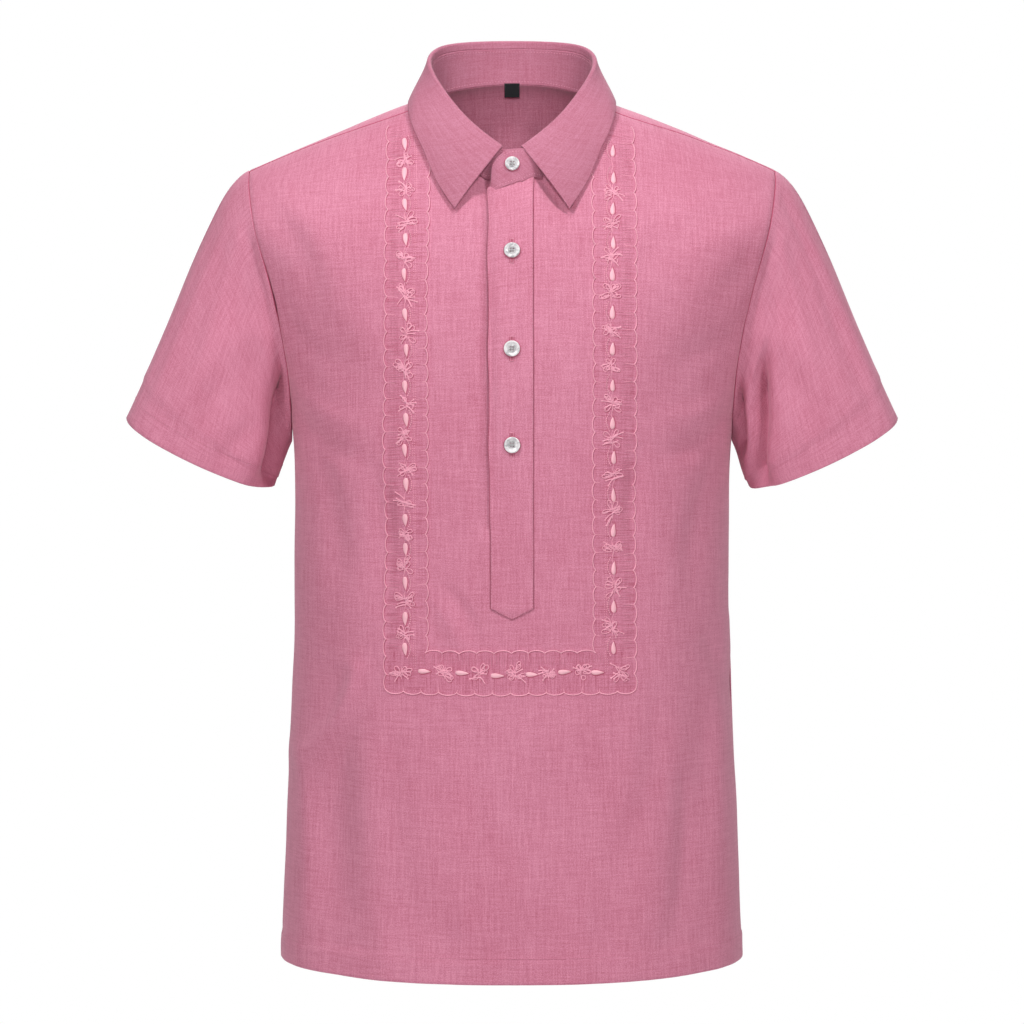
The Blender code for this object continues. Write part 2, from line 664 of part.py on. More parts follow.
def make_yoke():
    """The yoke lies over both shoulders behind the neck, between the front seams and the back seam."""
    arm_steps, seam_steps, _ = YOKE_COLUMNS
    neck_back = NECK_LINE[: YOKE_NECK_INDEX + 1]
    neck = joined(mirrored(neck_back)[::-1], neck_back)
    inner = resample(neck, sum(YOKE_COLUMNS) + 1)
    arm = resample(ARM_BACK[CORNER_INDEX:], arm_steps + 1)
    seam = resample(YOKE_BACK_SEAM, seam_steps + 1)
    outer = joined(mirrored(arm)[::-1], seam, arm)
    right_seam = resample(mirrored(YOKE_SEAM), SIDE_COLUMNS_SEAM + 1)
    left_seam = resample(YOKE_SEAM, SIDE_COLUMNS_SEAM + 1)
    grid = blend_patch(inner, outer, right_seam, left_seam)
    across, along = grid[..., 0], grid[..., 1]
    return wall("yoke", body(across, along), body_normals(across, along), CLOTH, CLOTH_COLOUR)


# ---------------------------------------------------------------- sleeves


def bezier(first, second, third, fourth, share):
    share = share[:, None, None]
    return (
        (1 - share) ** 3 * first
        + 3 * (1 - share) ** 2 * share * second
        + 3 * (1 - share) * share**2 * third
        + share**3 * fourth
    )


def armhole_ring():
    """The stations of the left armhole where the panels have their corners, from the armpit up the front.

    Each comes with its turn about the sleeve: 0 at the armpit, half a turn at the shoulder's end.
    """
    front = resample(ARM_FRONT, FRONT_ROWS[2] + 1)
    yoke = resample(ARM_BACK[CORNER_INDEX:], YOKE_COLUMNS[0] + 1)[::-1]
    back = resample(ARM_BACK[: CORNER_INDEX + 1], BACK_ROWS[1] + 1)[::-1]
    behind = joined(yoke, back)
    front_run = chord_lengths(body(front[:, 0], front[:, 1]))
    behind_run = chord_lengths(body(behind[:, 0], behind[:, 1]))
    turn = np.concatenate((0.5 * front_run / front_run[-1], 0.5 + 0.5 * behind_run[1:-1] / behind_run[-1]))
    ring = np.vstack((front, behind[1:-1]))
    return ring, turn


def sleeve_start(ring):
    """The sleeve's first ring: clear of the panels' edges, with the way off the panel and its normal."""
    edge = body(ring[:, 0], ring[:, 1])
    normals = body_normals(ring[:, 0], ring[:, 1])
    normals[0] = unit(normals[1] + normals[-1] + normals[0])
    ahead = unit(np.roll(edge, -1, axis=0) - np.roll(edge, 1, axis=0))
    leaving = unit(np.cross(ahead, normals))
    leaving *= np.sign(leaving[0, 2])
    return edge, normals, leaving


def step_off(leaving, normals, heading):
    """How far a wall that turns from leaving to heading stands off the edge of the wall that it meets."""
    bend = np.arccos(np.clip((leaving * heading).sum(-1), -1, 1))
    side = np.sign((normals * heading).sum(-1))
    folded = np.clip(bend / (0.5 * np.pi) - 1, 0, 1)
    slack = 0.5 * CLOTH * np.tan(0.5 * np.minimum(bend, 0.5 * np.pi))
    ahead = (SEAM_GAP + slack) * (1 - folded)
    out = slack * (1 - folded) + (CLOTH + SEAM_GAP) * folded
    return leaving * ahead[:, None] + normals * (side * out * np.sin(np.minimum(bend, 0.5 * np.pi)))[:, None]


def sleeve_points(rows):
    """The middle of the left sleeve's cloth, rows from the armhole to the cuff."""
    ring, share = armhole_ring()
    edge, normals, leaving = sleeve_start(ring)
    axis = np.array((math.sin(SLEEVE_LEAN), 0, -math.cos(SLEEVE_LEAN)))
    outward = np.array((math.cos(SLEEVE_LEAN), 0, math.sin(SLEEVE_LEAN)))
    turn = 2 * np.pi * share
    topness = 0.5 - 0.5 * np.cos(turn)
    cuff = (
        CUFF_CENTRE
        - outward * (CUFF_HALF_WIDTH * np.cos(turn))[:, None]
        - np.array((0, 1, 0)) * (CUFF_HALF_DEPTH * np.sin(turn))[:, None]
        + axis * (CUFF_FRONT_DROP * np.sin(turn))[:, None]
    )
    heading = unit(leaving * topness[:, None] + axis * (1 - topness)[:, None])
    first = edge + step_off(leaving, normals, heading)
    run = np.linalg.norm(cuff - first, axis=-1)[:, None]
    second = first + heading * np.minimum(SLEEVE_HEAD_REACH, SLEEVE_HEAD_SHARE * run)
    third = cuff - axis * run * SLEEVE_RUN_SHARE
    along = np.linspace(0, 1, rows + 1) ** SLEEVE_ROW_POWER
    points = bezier(first, second, third, cuff, along)
    normal = grid_normals(points, True)
    deep = np.zeros(points.shape[:2])
    for row in SLEEVE_FOLDS.values():
        fold = dict(zip(SLEEVE_FOLD_COLUMNS, row))
        past = along[:, None] - fold["from_along"]
        middle = fold["from_turn"] + (fold["to_turn"] - fold["from_turn"]) * np.clip(
            past / (fold["to_along"] - fold["from_along"]), 0, 1
        )
        swell = np.clip(past / SLEEVE_FOLD_FADE + 0.5, 0, 1)
        deep += fold["depth"] * MM * swell * np.exp(-(((share[None, :] - middle) / fold["width"]) ** 2))
    return points - normal * deep[..., None]


def make_sleeves():
    points = sleeve_points(SLEEVE_ROWS)
    for name, side in (("sleeve_left", 1), ("sleeve_right", -1)):
        placed = points * np.array((side, 1, 1))
        normals = grid_normals(placed, True)
        wall(name, placed, normals, CLOTH, CLOTH_COLOUR, closed=True, seam=0)


# ---------------------------------------------------------------- collar


def collar_line(columns, at):
    """Columns of the collar table read along the collar, from -1 (right front) to 1 (left front)."""
    fold = np.stack([COLLAR[name] for name in ("fold_x", "fold_y", "fold_z")], axis=-1)
    reach = chord_lengths(fold)
    knots = np.concatenate((-reach[:0:-1], reach)) / reach[-1]
    values = np.stack([COLLAR[name] for name in columns], axis=-1)
    flip = np.array([-1.0 if name.endswith("_x") else 1.0 for name in columns])
    both = np.vstack(((values * flip)[:0:-1], values))
    return cubic_spline(knots, both, at)


def collar_stations(at):
    """Where the neckline lies on the body under the collar."""
    return np.array([plan_station(x, y) for x, y in collar_line(("neck_x", "neck_y"), at)]).T


def collar_frame(at):
    """The collar's fold line with its rising and outward directions."""
    fold = collar_line(("fold_x", "fold_y", "fold_z"), at)
    ahead = unit(np.gradient(fold, axis=0))
    rise = fold - smooth_section(*collar_stations(at))
    rise = unit(rise - (rise * ahead).sum(-1, keepdims=True) * ahead)
    out = unit(np.cross(ahead, rise))
    out *= np.sign((out[:, :2] * fold[:, :2]).sum(-1))[:, None]
    return fold, rise, out


def leaf_seat(at):
    """Where the leaf leaves the stand, and how long its upright leg is."""
    fold, rise, out = collar_frame(at)
    frontness = np.clip((np.abs(at) - LEAF_LEG_TURN) / (1 - LEAF_LEG_TURN), 0, 1)
    leg = LEAF_LEG_BACK + (LEAF_LEG_FRONT - LEAF_LEG_BACK) * frontness
    return fold - (rise + out) * ROLL_RADIUS - rise * leg[:, None], leg


def make_stand():
    """The stand: a strip round the neck whose left end laps over its right end at the front."""
    at = np.linspace(-1, 1, STAND_SPANS + 1)
    base = body(*collar_stations(at))
    top = leaf_seat(at)[0]
    out = collar_frame(at)[2]
    lap = STAND_LAP * np.sign(at) * np.clip((np.abs(at) - STAND_LAP_START) / (1 - STAND_LAP_START), 0, 1) ** 2
    base = base + out * lap[:, None] + unit(top - base) * (STAND_LIFT + STAND_LAP_LIFT * np.abs(lap))[:, None]
    top = top + out * lap[:, None]
    ends_base = []
    ends_top = []
    share = np.linspace(0, 1, STAND_END_SPANS + 1)[1:]
    for side, index, end_z in ((-1, 0, STAND_UNDER_END_Z), (1, -1, STAND_END_Z)):
        x = base[index, 0] + (-side * STAND_END_X - base[index, 0]) * share
        z = base[index, 2] + (end_z - base[index, 2]) * share
        runs = np.array([along_at(*place) for place in zip(x, z)])
        across = across_at(x, runs)
        ends_base.append(body(across, runs) + body_normals(across, runs) * side * STAND_END_OUT)
        row_top = np.stack((x, np.full_like(x, top[index, 1]), np.full_like(x, top[index, 2])), axis=-1)
        row_top[:, 1] -= side * STAND_END_LEAN * share
        rounded = np.clip((share - STAND_ROUND_START) / (1 - STAND_ROUND_START), 0, 1)
        row_top[:, 2] -= STAND_END_ROUND * rounded**2
        ends_top.append(row_top)
    base = np.vstack((ends_base[0][::-1], base, ends_base[1]))
    top = np.vstack((ends_top[0][::-1], top, ends_top[1]))
    up = np.linspace(0, 1, STAND_ROWS + 1)[:, None, None]
    points = base[None] * (1 - up) + top[None] * up
    normals = grid_normals(points, False)
    if normals[0, points.shape[1] // 2, 1] < 0:
        normals = -normals
    wall("collar_stand", points, normals, STAND_CLOTH, TRIM_COLOUR)
    return points, normals


def leaf_edge(at):
    """The leaf's free edge, lifted off the body, and the direction it is lifted in."""
    edge = collar_line(("edge_x", "edge_y", "edge_z", "lift"), at)
    places = []
    normals = []
    for point in edge:
        station = locate(point[:3])
        places.append(smooth_section(station[0], station[1]))
        normals.append(surface_normals(smooth_section, station[0], station[1]))
    normals = np.array(normals)
    return np.array(places) + normals * edge[:, 3:4], normals


def make_leaf():
    """The leaf: up from the stand, over the fold and down to its edge, with a point at each front end."""
    at = np.linspace(-1, 1, LEAF_SPANS + 1)
    seat, leg = leaf_seat(at)
    rise, out = collar_frame(at)[1:]
    edge, edge_normals = leaf_edge(at)
    rows = [seat + rise * (SEAM_GAP + LEAF_SEAT_GAP)]
    centre = seat + rise * leg[:, None] + out * ROLL_RADIUS
    for turn in LEAF_ROLL:
        rows.append(centre + out * ROLL_RADIUS * math.cos(turn) + rise * ROLL_RADIUS * math.sin(turn))
    start = rows[-1]
    bow = LEAF_BOW * np.linalg.norm(edge - start, axis=-1)[:, None]
    second = start - rise * bow + out * bow * LEAF_FULLNESS
    third = edge - unit(edge - start) * bow + edge_normals * bow * LEAF_FULLNESS
    down = bezier(start, second, third, edge, np.linspace(0, 1, LEAF_ROWS + 1)[1:])
    points = np.stack(rows + list(down), axis=0)
    normals = grid_normals(points, False)
    if normals[-1, points.shape[1] // 2, 1] < 0:
        normals = -normals
    wall("collar_leaf", points, normals, LEAF_CLOTH, TRIM_COLOUR, seam=0)


# ---------------------------------------------------------------- placket, buttons, label


def front_strip(half_width, z_rows, top_slope, out, columns):
    """A grid over the middle of the front, out above the cloth, from the neck down."""
    x = np.linspace(-half_width, half_width, columns + 1)
    grid = []
    for number, z in enumerate(z_rows):
        fade = 1 - number / (len(z_rows) - 1)
        slope = top_slope * fade**3
        runs = np.array([along_at(value, z + slope * value) for value in x])
        grid.append(np.stack((across_at(x, runs), runs), axis=-1))
    grid = np.array(grid)
    normals = body_normals(grid[..., 0], grid[..., 1])
    return body(grid[..., 0], grid[..., 1]) + normals * out, normals


def make_over_placket():
    out = CLOTH / 2 + PLACKET_GAP + PLACKET_CLOTH / 2
    top = NECK_FRONT_Z - PLACKET_TOP_DROP
    upper = np.linspace(top, PLACKET_LAP_END_Z, PLACKET_ROWS)
    lower = np.linspace(PLACKET_LAP_END_Z, PLACKET_SHOULDER_Z, PLACKET_TAIL_ROWS)[1:]
    z_rows = np.concatenate((upper, lower))
    points, normals = front_strip(PLACKET_HALF, z_rows, NECK_LAP_SLOPE, out, 4)
    tail = points[-1:].copy()
    share = 1 - np.abs(np.linspace(-1, 1, points.shape[1]))
    tail[0, :, 2] -= PLACKET_TAIL_STEP + (PLACKET_SHOULDER_Z - PLACKET_POINT_Z) * share
    points = np.vstack((points, tail))
    normals = np.vstack((normals, normals[-1:]))
    wall("placket_over", points[::-1], normals[::-1], PLACKET_CLOTH, TRIM_COLOUR)


def make_under_placket():
    out = -(CLOTH / 2 + PLACKET_GAP + PLACKET_CLOTH / 2)
    z_rows = np.linspace(NECK_FRONT_Z - UNDER_PLACKET_DROP, UNDER_PLACKET_BOTTOM_Z, PLACKET_ROWS)
    points, normals = front_strip(PLACKET_HALF, z_rows, 0.0, out, 2)
    wall("placket_under", points[::-1], normals[::-1], PLACKET_CLOTH, TRIM_COLOUR)


def button_profile(radius):
    """Radius and height of the turned button from its back to its dished face."""
    return (
        (0.0, 0.0),
        (0.62 * radius, 0.0),
        (radius, 0.38 * BUTTON_THICK),
        (radius, 0.72 * BUTTON_THICK),
        (0.88 * radius, BUTTON_THICK),
        (0.68 * radius, 0.86 * BUTTON_THICK),
        (0.56 * radius, 0.62 * BUTTON_THICK),
        (0.0, 0.62 * BUTTON_THICK),
    )


def make_button(name, centre, normal, radius):
    """A turned, dished button with four holes, its back at centre."""
    normal = unit(np.asarray(normal, float))
    side = unit(np.cross(normal, (0, 0, 1.0)))
    up = np.cross(side, normal)
    points = []
    profile = button_profile(radius)
    for distance, height in profile[1:-1]:
        for step in range(BUTTON_SIDES):
            turn = 2 * math.pi * step / BUTTON_SIDES
            points.append(centre + normal * height + (side * math.cos(turn) + up * math.sin(turn)) * distance)
    rings = len(profile) - 2
    faces = [list(reversed(range(BUTTON_SIDES)))]
    for ring in range(rings - 1):
        for step in range(BUTTON_SIDES):
            beside = (step + 1) % BUTTON_SIDES
            low = ring * BUTTON_SIDES
            high = low + BUTTON_SIDES
            faces.append([low + step, low + beside, high + beside, high + step])
    faces.append([(rings - 1) * BUTTON_SIDES + step for step in range(BUTTON_SIDES)])
    made = add_object(name, points, faces, PEARL_COLOUR, 0.25)
    drill = bmesh.new()
    for turn in np.radians((45, 135, 225, 315)):
        reach = (side * math.cos(turn) + up * math.sin(turn)) * BUTTON_HOLE_REACH
        middle = centre + reach + normal * BUTTON_THICK / 2
        made_ring = bmesh.ops.create_cone(
            drill,
            segments=8,
            radius1=BUTTON_HOLE_RADIUS,
            radius2=BUTTON_HOLE_RADIUS,
            depth=3 * BUTTON_THICK,
            cap_ends=True,
        )
        axes = np.stack((side, up, normal), axis=1)
        for vertex in made_ring["verts"]:
            vertex.co = middle + axes @ np.array(vertex.co)
    cutter_mesh = bpy.data.meshes.new(name + "_holes")
    bmesh.ops.recalc_face_normals(drill, faces=drill.faces)
    drill.to_mesh(cutter_mesh)
    drill.free()
    cutter = bpy.data.objects.new(name + "_holes", cutter_mesh)
    cutter.hide_render = True
    cutter.display_type = "WIRE"
    bpy.context.scene.collection.objects.link(cutter)
    cut = made.modifiers.new("holes", "BOOLEAN")
    cut.operation = "DIFFERENCE"
    cut.object = cutter


def make_buttons(stand_points, stand_normals):
    out = CLOTH / 2 + PLACKET_GAP + PLACKET_CLOTH + LAYER_GAP
    for name, z in PLACKET_BUTTONS_Z.items():
        run = along_at(0.0, z)
        normal = body_normals(0.0, run)
        make_button("button_" + name, body(0.0, run) + normal * out, normal, BUTTON_RADIUS)
    lower, upper = stand_points[0, -3], stand_points[-1, -3]
    middle = lower + (upper - lower) * (COLLAR_BUTTON_Z - lower[2]) / (upper[2] - lower[2])
    middle[0] = 0.0
    normal = stand_normals[STAND_ROWS // 2, -3]
    back = middle + normal * (STAND_CLOTH / 2 + LAYER_GAP)
    make_button("button_collar", back, normal, COLLAR_BUTTON_RADIUS)


def make_label(stand_points):
    """A bare woven label that hangs inside the back of the neck from the stand's seam."""
    width, height = LABEL_SIZE
    seam = stand_points[0, stand_points.shape[1] // 2]
    x = np.linspace(-width / 2, width / 2, 3)
    above = stand_points[1, stand_points.shape[1] // 2]
    z = np.linspace(seam[2] + LABEL_TUCK - height, seam[2] + LABEL_TUCK, 3)
    lean = (above[1] - seam[1]) / (above[2] - seam[2]) * LABEL_TUCK
    y = seam[1] + lean - (STAND_CLOTH + LABEL_CLOTH) / 2 - 2 * LAYER_GAP
    points = np.array([[(across, y, high) for across in x] for high in z])
    normals = np.broadcast_to(np.array((0.0, 1.0, 0.0)), points.shape)
    wall("neck_label", points, normals, LABEL_CLOTH, LABEL_COLOUR, seam=0)


# ---------------------------------------------------------------- embroidered bands


def scallop(distance):
    """How far the band's edge swings in between two scallops, at a distance along it."""
    return SCALLOP_DEPTH * (1 - np.abs(np.sin(np.pi * distance / SCALLOP_PITCH)) ** 0.6)


def make_band_column(name, side):
    """One upright band of the embroidered U, from the yoke seam to the U's lower edge."""
    middle = BAND_CENTRE_X + side * BAND_OFFSET_X
    low = along_at(middle, BAND_BOTTOM_Z - BAND_HALF)
    seam_places = smooth_section(YOKE_SEAM[:, 0], YOKE_SEAM[:, 1])
    seam_run = float(np.interp(abs(middle), seam_places[:, 0], YOKE_SEAM[:, 1]))
    count = int(round((seam_run - low) / SCALLOP_PITCH))
    share = np.linspace(0, 1, count * SCALLOP_STEPS + 1)[:, None]
    half = BAND_HALF + SCALLOP_DEPTH - scallop(share[:, 0] * count * SCALLOP_PITCH)
    x = middle + np.stack((-half, np.zeros_like(half), half), axis=-1)
    drop = BAND_TOP_DROP if side > 0 else BAND_TOP_DROP[::-1]
    runs = low + share * (seam_run - drop - low)
    make_band(name, x, runs, BAND_TOP_LIFT * share**BAND_TOP_LIFT_POWER)


def make_band(name, x, runs, lift=0.0):
    """A band laid on the front: its grid of x and runs, lifted further off the cloth where told."""
    across = across_at(x, runs)
    normals = body_normals(across, runs)
    out = CLOTH / 2 + BAND_GAP + EMBROIDERY_CLOTH / 2 + np.broadcast_to(lift, x.shape)
    points = body(across, runs) + normals * out[..., None]
    wall(name, points, normals, EMBROIDERY_CLOTH, THREAD_COLOUR, seam=0)


def make_band_bottom():
    """The level band of the U, between the two upright ones."""
    inner = BAND_OFFSET_X - BAND_HALF - SCALLOP_DEPTH - LAYER_GAP
    width = 2 * inner
    count = int(round(width / SCALLOP_PITCH))
    x = BAND_CENTRE_X + np.linspace(-inner, inner, count * SCALLOP_STEPS + 1)
    swing = scallop((x - x[0]) * count * SCALLOP_PITCH / width)
    half = BAND_HALF + SCALLOP_DEPTH - swing
    middle = along_at(0.0, BAND_BOTTOM_Z)
    runs = middle + np.stack((-half, np.zeros_like(half), half), axis=0)
    make_band("embroidery_bottom", np.repeat(x[None, :], 3, axis=0), runs)


def main():
    clear_scene()
    make_front()
    make_back()
    make_yoke()
    make_sleeves()
    stand_points, stand_normals = make_stand()
    make_leaf()
    make_over_placket()
    make_under_placket()
    make_buttons(stand_points, stand_normals)
    make_label(stand_points)
    make_band_column("embroidery_left", 1)
    make_band_column("embroidery_right", -1)
    make_band_bottom()


main()
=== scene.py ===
"""Short-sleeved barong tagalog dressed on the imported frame: cloth, sewing, embroidery, buttons and studio.

Frame: +X to the wearer's left, -Y to the front, +Z up. Lengths in the tables are millimetres.
The cloth repeats the part's own tables and curves at a finer step, with the smaller folds added.
"""

import math

import bpy
import numpy as np
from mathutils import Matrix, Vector


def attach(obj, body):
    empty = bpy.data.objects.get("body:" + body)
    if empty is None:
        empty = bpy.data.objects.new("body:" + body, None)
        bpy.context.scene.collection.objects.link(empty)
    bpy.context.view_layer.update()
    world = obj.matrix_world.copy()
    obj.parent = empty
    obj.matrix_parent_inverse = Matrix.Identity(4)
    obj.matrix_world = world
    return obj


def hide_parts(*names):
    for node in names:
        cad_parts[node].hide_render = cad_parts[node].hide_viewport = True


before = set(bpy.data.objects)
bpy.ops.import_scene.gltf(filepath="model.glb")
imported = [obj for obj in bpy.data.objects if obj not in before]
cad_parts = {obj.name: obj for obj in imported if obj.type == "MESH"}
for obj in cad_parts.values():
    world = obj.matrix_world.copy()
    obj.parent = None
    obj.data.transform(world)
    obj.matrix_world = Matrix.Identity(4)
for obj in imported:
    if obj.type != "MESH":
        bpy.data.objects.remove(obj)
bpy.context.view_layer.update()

MM = 0.001

# Walls and clearances
CLOTH = 1.2 * MM
STAND_CLOTH = 2.0 * MM
LEAF_CLOTH = 1.3 * MM
LABEL_CLOTH = 0.6 * MM
SEAM_GAP = 0.3 * MM
LAYER_GAP = 0.35 * MM
PLACKET_GAP = 0.55 * MM
PLACKET_FACE = PLACKET_GAP + CLOTH

# Body: one row for each section from the front hem, over the shoulders, to the back hem.
# side_z says where the section leaves the side line, mid_y and mid_z give its middle.
# squareness 2 is an ellipse and more is squarer; drop is the power of the height across the section.
SECTION_COLUMNS = ("side_z", "mid_y", "mid_z", "squareness", "drop")
BODY_SECTIONS = {
    "front hem": (-748, -142.5, -751, 2.35, 2.0),
    "front low": (-620, -140, -620, 2.35, 2.0),
    "front hip": (-500, -137, -500, 2.35, 2.0),
    "front waist": (-400, -135, -400, 2.35, 2.0),
    "front rib": (-345, -134, -341, 2.4, 2.0),
    "front armpit": (-293, -132, -274, 2.4, 2.0),
    "front arm": (-235, -127, -222, 2.5, 2.0),
    "front underarm": (-190, -118.5, -178, 2.75, 2.0),
    "front chest": (-142, -104, -130, 2.9, 2.0),
    "front upper chest": (-106, -88, -98, 3.0, 1.8),
    "front collar bone": (-80, -57.5, -54, 3.0, 1.6),
    "front shoulder": (-66, -30, -3, 3.0, 1.3),
    "shoulder ridge": (-56, 0, 20.2, 3.0, 1.2),
    "back shoulder": (-65, 40, 26, 3.0, 1.15),
    "back nape": (-80, 66, 18, 2.8, 1.35),
    "back yoke": (-106, 90, -14, 2.9, 1.7),
    "back blade": (-142, 108, -60, 2.9, 2.0),
    "back underarm": (-190, 121, -125, 2.75, 2.0),
    "back arm": (-235, 126, -195, 2.5, 2.0),
    "back armpit": (-293, 127, -260, 2.4, 2.0),
    "back rib": (-345, 125, -337, 2.4, 2.0),
    "back waist": (-400, 122, -400, 2.35, 2.0),
    "back hip": (-500, 122, -500, 2.35, 2.0),
    "back low": (-620, 128, -620, 2.35, 2.0),
    "back hem": (-748, 134, -748, 2.35, 2.0),
}

# The side line, shared by front and back: up the side seam, on under the sleeve to the shoulder's end.
SIDE_COLUMNS = ("half_width", "y", "z")
SIDE_LINE = {
    "hem": (203.0, 0, -748),
    "low": (198.5, 0, -620),
    "hip": (193.5, 0, -500),
    "waist": (190.6, 0, -400),
    "rib": (190.6, 2, -345),
    "armpit": (191.8, 4, -293),
    "deep arm": (206.5, 6, -222),
    "underarm": (219.5, 7, -190),
    "arm": (241.0, 8, -142),
    "upper arm": (252.0, 8, -106),
    "shoulder": (248.5, 8, -80),
    "shoulder top": (241.0, 8, -65),
    "shoulder end": (231.5, 8, -56),
}

# The left armhole (x, y, z), from the armpit up the front, over the shoulder and down the back.
ARMHOLE = {
    "armpit": (191.8, 4, -293),
    "front low": (192.6, -21, -262),
    "front lower": (196.5, -40, -219),
    "front notch": (203.0, -49.5, -186),
    "front middle": (213.5, -53.5, -144),
    "front high": (222.5, -46.5, -108),
    "front shoulder": (227.8, -32, -84),
    "front tip": (230.0, -14, -67.5),
    "yoke seam": (230.4, 1.8, -57.2),
    "shoulder tip": (230.7, 12, -56.6),
    "back tip": (230.6, 28, -65.5),
    "back shoulder": (228.5, 44.5, -84),
    "back high": (224.5, 54.5, -108),
    "back middle": (215.5, 57.5, -144),
    "back notch": (204.0, 53.5, -186),
    "back lower": (197.0, 43.5, -219),
    "back low": (193.0, 25, -262),
    "armpit again": (191.8, 4, -293),
}

# Yoke: its front seam lies forward of the shoulder ridge, its back seam crosses below the collar.
YOKE_FRONT_SEAM = ((92, -13, -8), (150, -9, -28), (201, -3, -44.5))
YOKE_NECK_POINT = (76, -9, -2.5)
YOKE_BACK_MID_Z = -62 * MM
YOKE_BACK_SIDE = (222, 56, -101)

# Collar: one row for each station of the left half, from the middle of the back to the front.
# The stand rises from the neckline (x, y), the leaf turns over at the fold and ends at its edge.
COLLAR_COLUMNS = ("neck_x", "neck_y", "fold_x", "fold_y", "fold_z", "edge_x", "edge_y", "edge_z", "lift")
COLLAR_STATIONS = {
    "back": (0, 56, 0, 53, 60.4, 0, 77, 12, 2.4),
    "back quarter": (42, 50, 42, 47, 58.8, 46, 71, 10, 2.4),
    "side back": (66, 33, 64.5, 30, 53.4, 74, 46, 5, 2.6),
    "side": (75.5, 10, 72.4, 10, 43.2, 86.8, 13, 1, 3.6),
    "side front": (73, -14, 69, -10, 29.5, 87, -26, -16.5, 4.9),
    "front quarter": (60, -38, 56, -29, 9, 78, -50, -37.5, 4.4),
    "front": (38, -56, 37, -45.5, -13.5, 67.5, -74, -58, 4.0),
    "front end": (8, -65, 8, -60, -37, 49.5, -101, -82.5, 4.0),
}
ROLL_RADIUS = 1.5 * MM
LEAF_LEG_BACK = 5.0 * MM
LEAF_LEG_FRONT = 0.8 * MM
LEAF_LEG_TURN = 0.35
LEAF_SEAT_GAP = -0.25 * MM
LEAF_ROLL = np.radians(np.linspace(180, 0, 13))
LEAF_BOW = 0.3
LEAF_FULLNESS = 0.15
STAND_END_X = 17.5 * MM
STAND_LAP = 1.75 * MM
STAND_LAP_START = 0.7
STAND_LAP_LIFT = 0.7
STAND_LIFT = 0.2 * MM
STAND_END_Z = -77.0 * MM
STAND_UNDER_END_Z = -61.0 * MM
STAND_END_LEAN = 0.5 * MM
STAND_END_OUT = 2.1 * MM
STAND_END_ROUND = 14 * MM
STAND_ROUND_START = 0.2
STAND_FRONT_DROP = 4.0 * MM
STAND_DROP_START = 0.9

# Placket
PLACKET_HALF = 18.3 * MM
SLOT_HALF = 15.4 * MM
SLOT_BOTTOM_Z = -366 * MM
PLACKET_LAP_END_Z = -369 * MM
PLACKET_SHOULDER_Z = -430 * MM
PLACKET_POINT_Z = -439 * MM
UNDER_PLACKET_BOTTOM_Z = -372 * MM
PLACKET_TOP_DROP = 0.1 * MM
PLACKET_TAIL_STEP = 0.4 * MM
UNDER_PLACKET_DROP = 4.5 * MM
NECK_FRONT_Y = -66.0 * MM
NECK_FRONT_Z = -66.3 * MM
NECK_LAP_SLOPE = 0.24
PLACKET_EDGE_LIFT = 2.8 * MM
PLACKET_WAVE = 1.1 * MM
PLACKET_WAVE_REACH = 17 * MM
PLACKET_OPENING_FADE = 9 * MM

# Buttons and buttonholes
BUTTON_RADIUS = 7.0 * MM
COLLAR_BUTTON_RADIUS = 6.4 * MM
BUTTON_THICK = 2.4 * MM
BUTTON_HOLE_RADIUS = 0.75 * MM
BUTTON_HOLE_REACH = 1.7 * MM
PLACKET_BUTTONS_Z = {"upper": -128.0 * MM, "middle": -210.5 * MM, "lower": -291.5 * MM}
COLLAR_BUTTON_Z = -52.4 * MM
BUTTONHOLE_HALF = 10.3 * MM

# Embroidered U
BAND_CENTRE_X = -1.5 * MM
BAND_OFFSET_X = 88.7 * MM
BAND_HALF = 16.6 * MM
BAND_TOP_Z = -13 * MM
BAND_BOTTOM_Z = -485.0 * MM
SCALLOP_PITCH = 14.6 * MM
SCALLOP_DEPTH = 2.4 * MM
SCALLOP_STEPS = 12
DROP_HEIGHT = 1.3 * MM
FLOWER_THREAD = 0.52 * MM
EDGE_THREAD = 0.5 * MM
# How far the dark threads of painted shadow lie to the right of and below raised work
PAINTED_SHADOW_ASIDE = np.array((0.55, -0.4)) * MM
# The satin drops of each band (x, z) and the flowers of the level one
DROPS_RIGHT = (
    (-93, -35), (-93, -61), (-92, -88), (-91, -118), (-92, -148), (-91, -182), (-90, -212), (-91, -243),
    (-90, -271), (-91, -297), (-90, -326), (-91, -356), (-91, -381), (-91, -410), (-91, -440), (-91, -466),
)
DROPS_LEFT = (
    (87, -40), (87, -64), (86, -91), (86, -120), (85, -147), (85, -179), (85, -210), (85, -241),
    (85, -273), (86, -302), (86, -334), (86, -364), (86, -396), (86, -429), (86, -464),
)
DROPS_BOTTOM = ((-74, -484), (-42, -485), (-12, -487), (17, -486), (45, -484), (73, -485))
FLOWERS_BOTTOM = ((-94, -486), (-57, -485), (-27, -486), (3, -485), (31, -486), (59, -485), (91, -485))

# Neck label
LABEL_SIZE = (14 * MM, 13 * MM)
LABEL_TUCK = 1.5 * MM

# Sleeves, on the +X side: the cuff ring's middle, half sizes and the way the sleeve runs.
CUFF_CENTRE = np.array((274.5, 2, -302.5)) * MM
CUFF_HALF_WIDTH = 72.5 * MM
CUFF_HALF_DEPTH = 54.0 * MM
SLEEVE_LEAN = math.radians(25.5)
CUFF_FRONT_DROP = 9.0 * MM
SLEEVE_HEAD_REACH = 31 * MM
SLEEVE_HEAD_SHARE = 0.4
SLEEVE_RUN_SHARE = 0.55
SLEEVE_ROW_POWER = 1.15

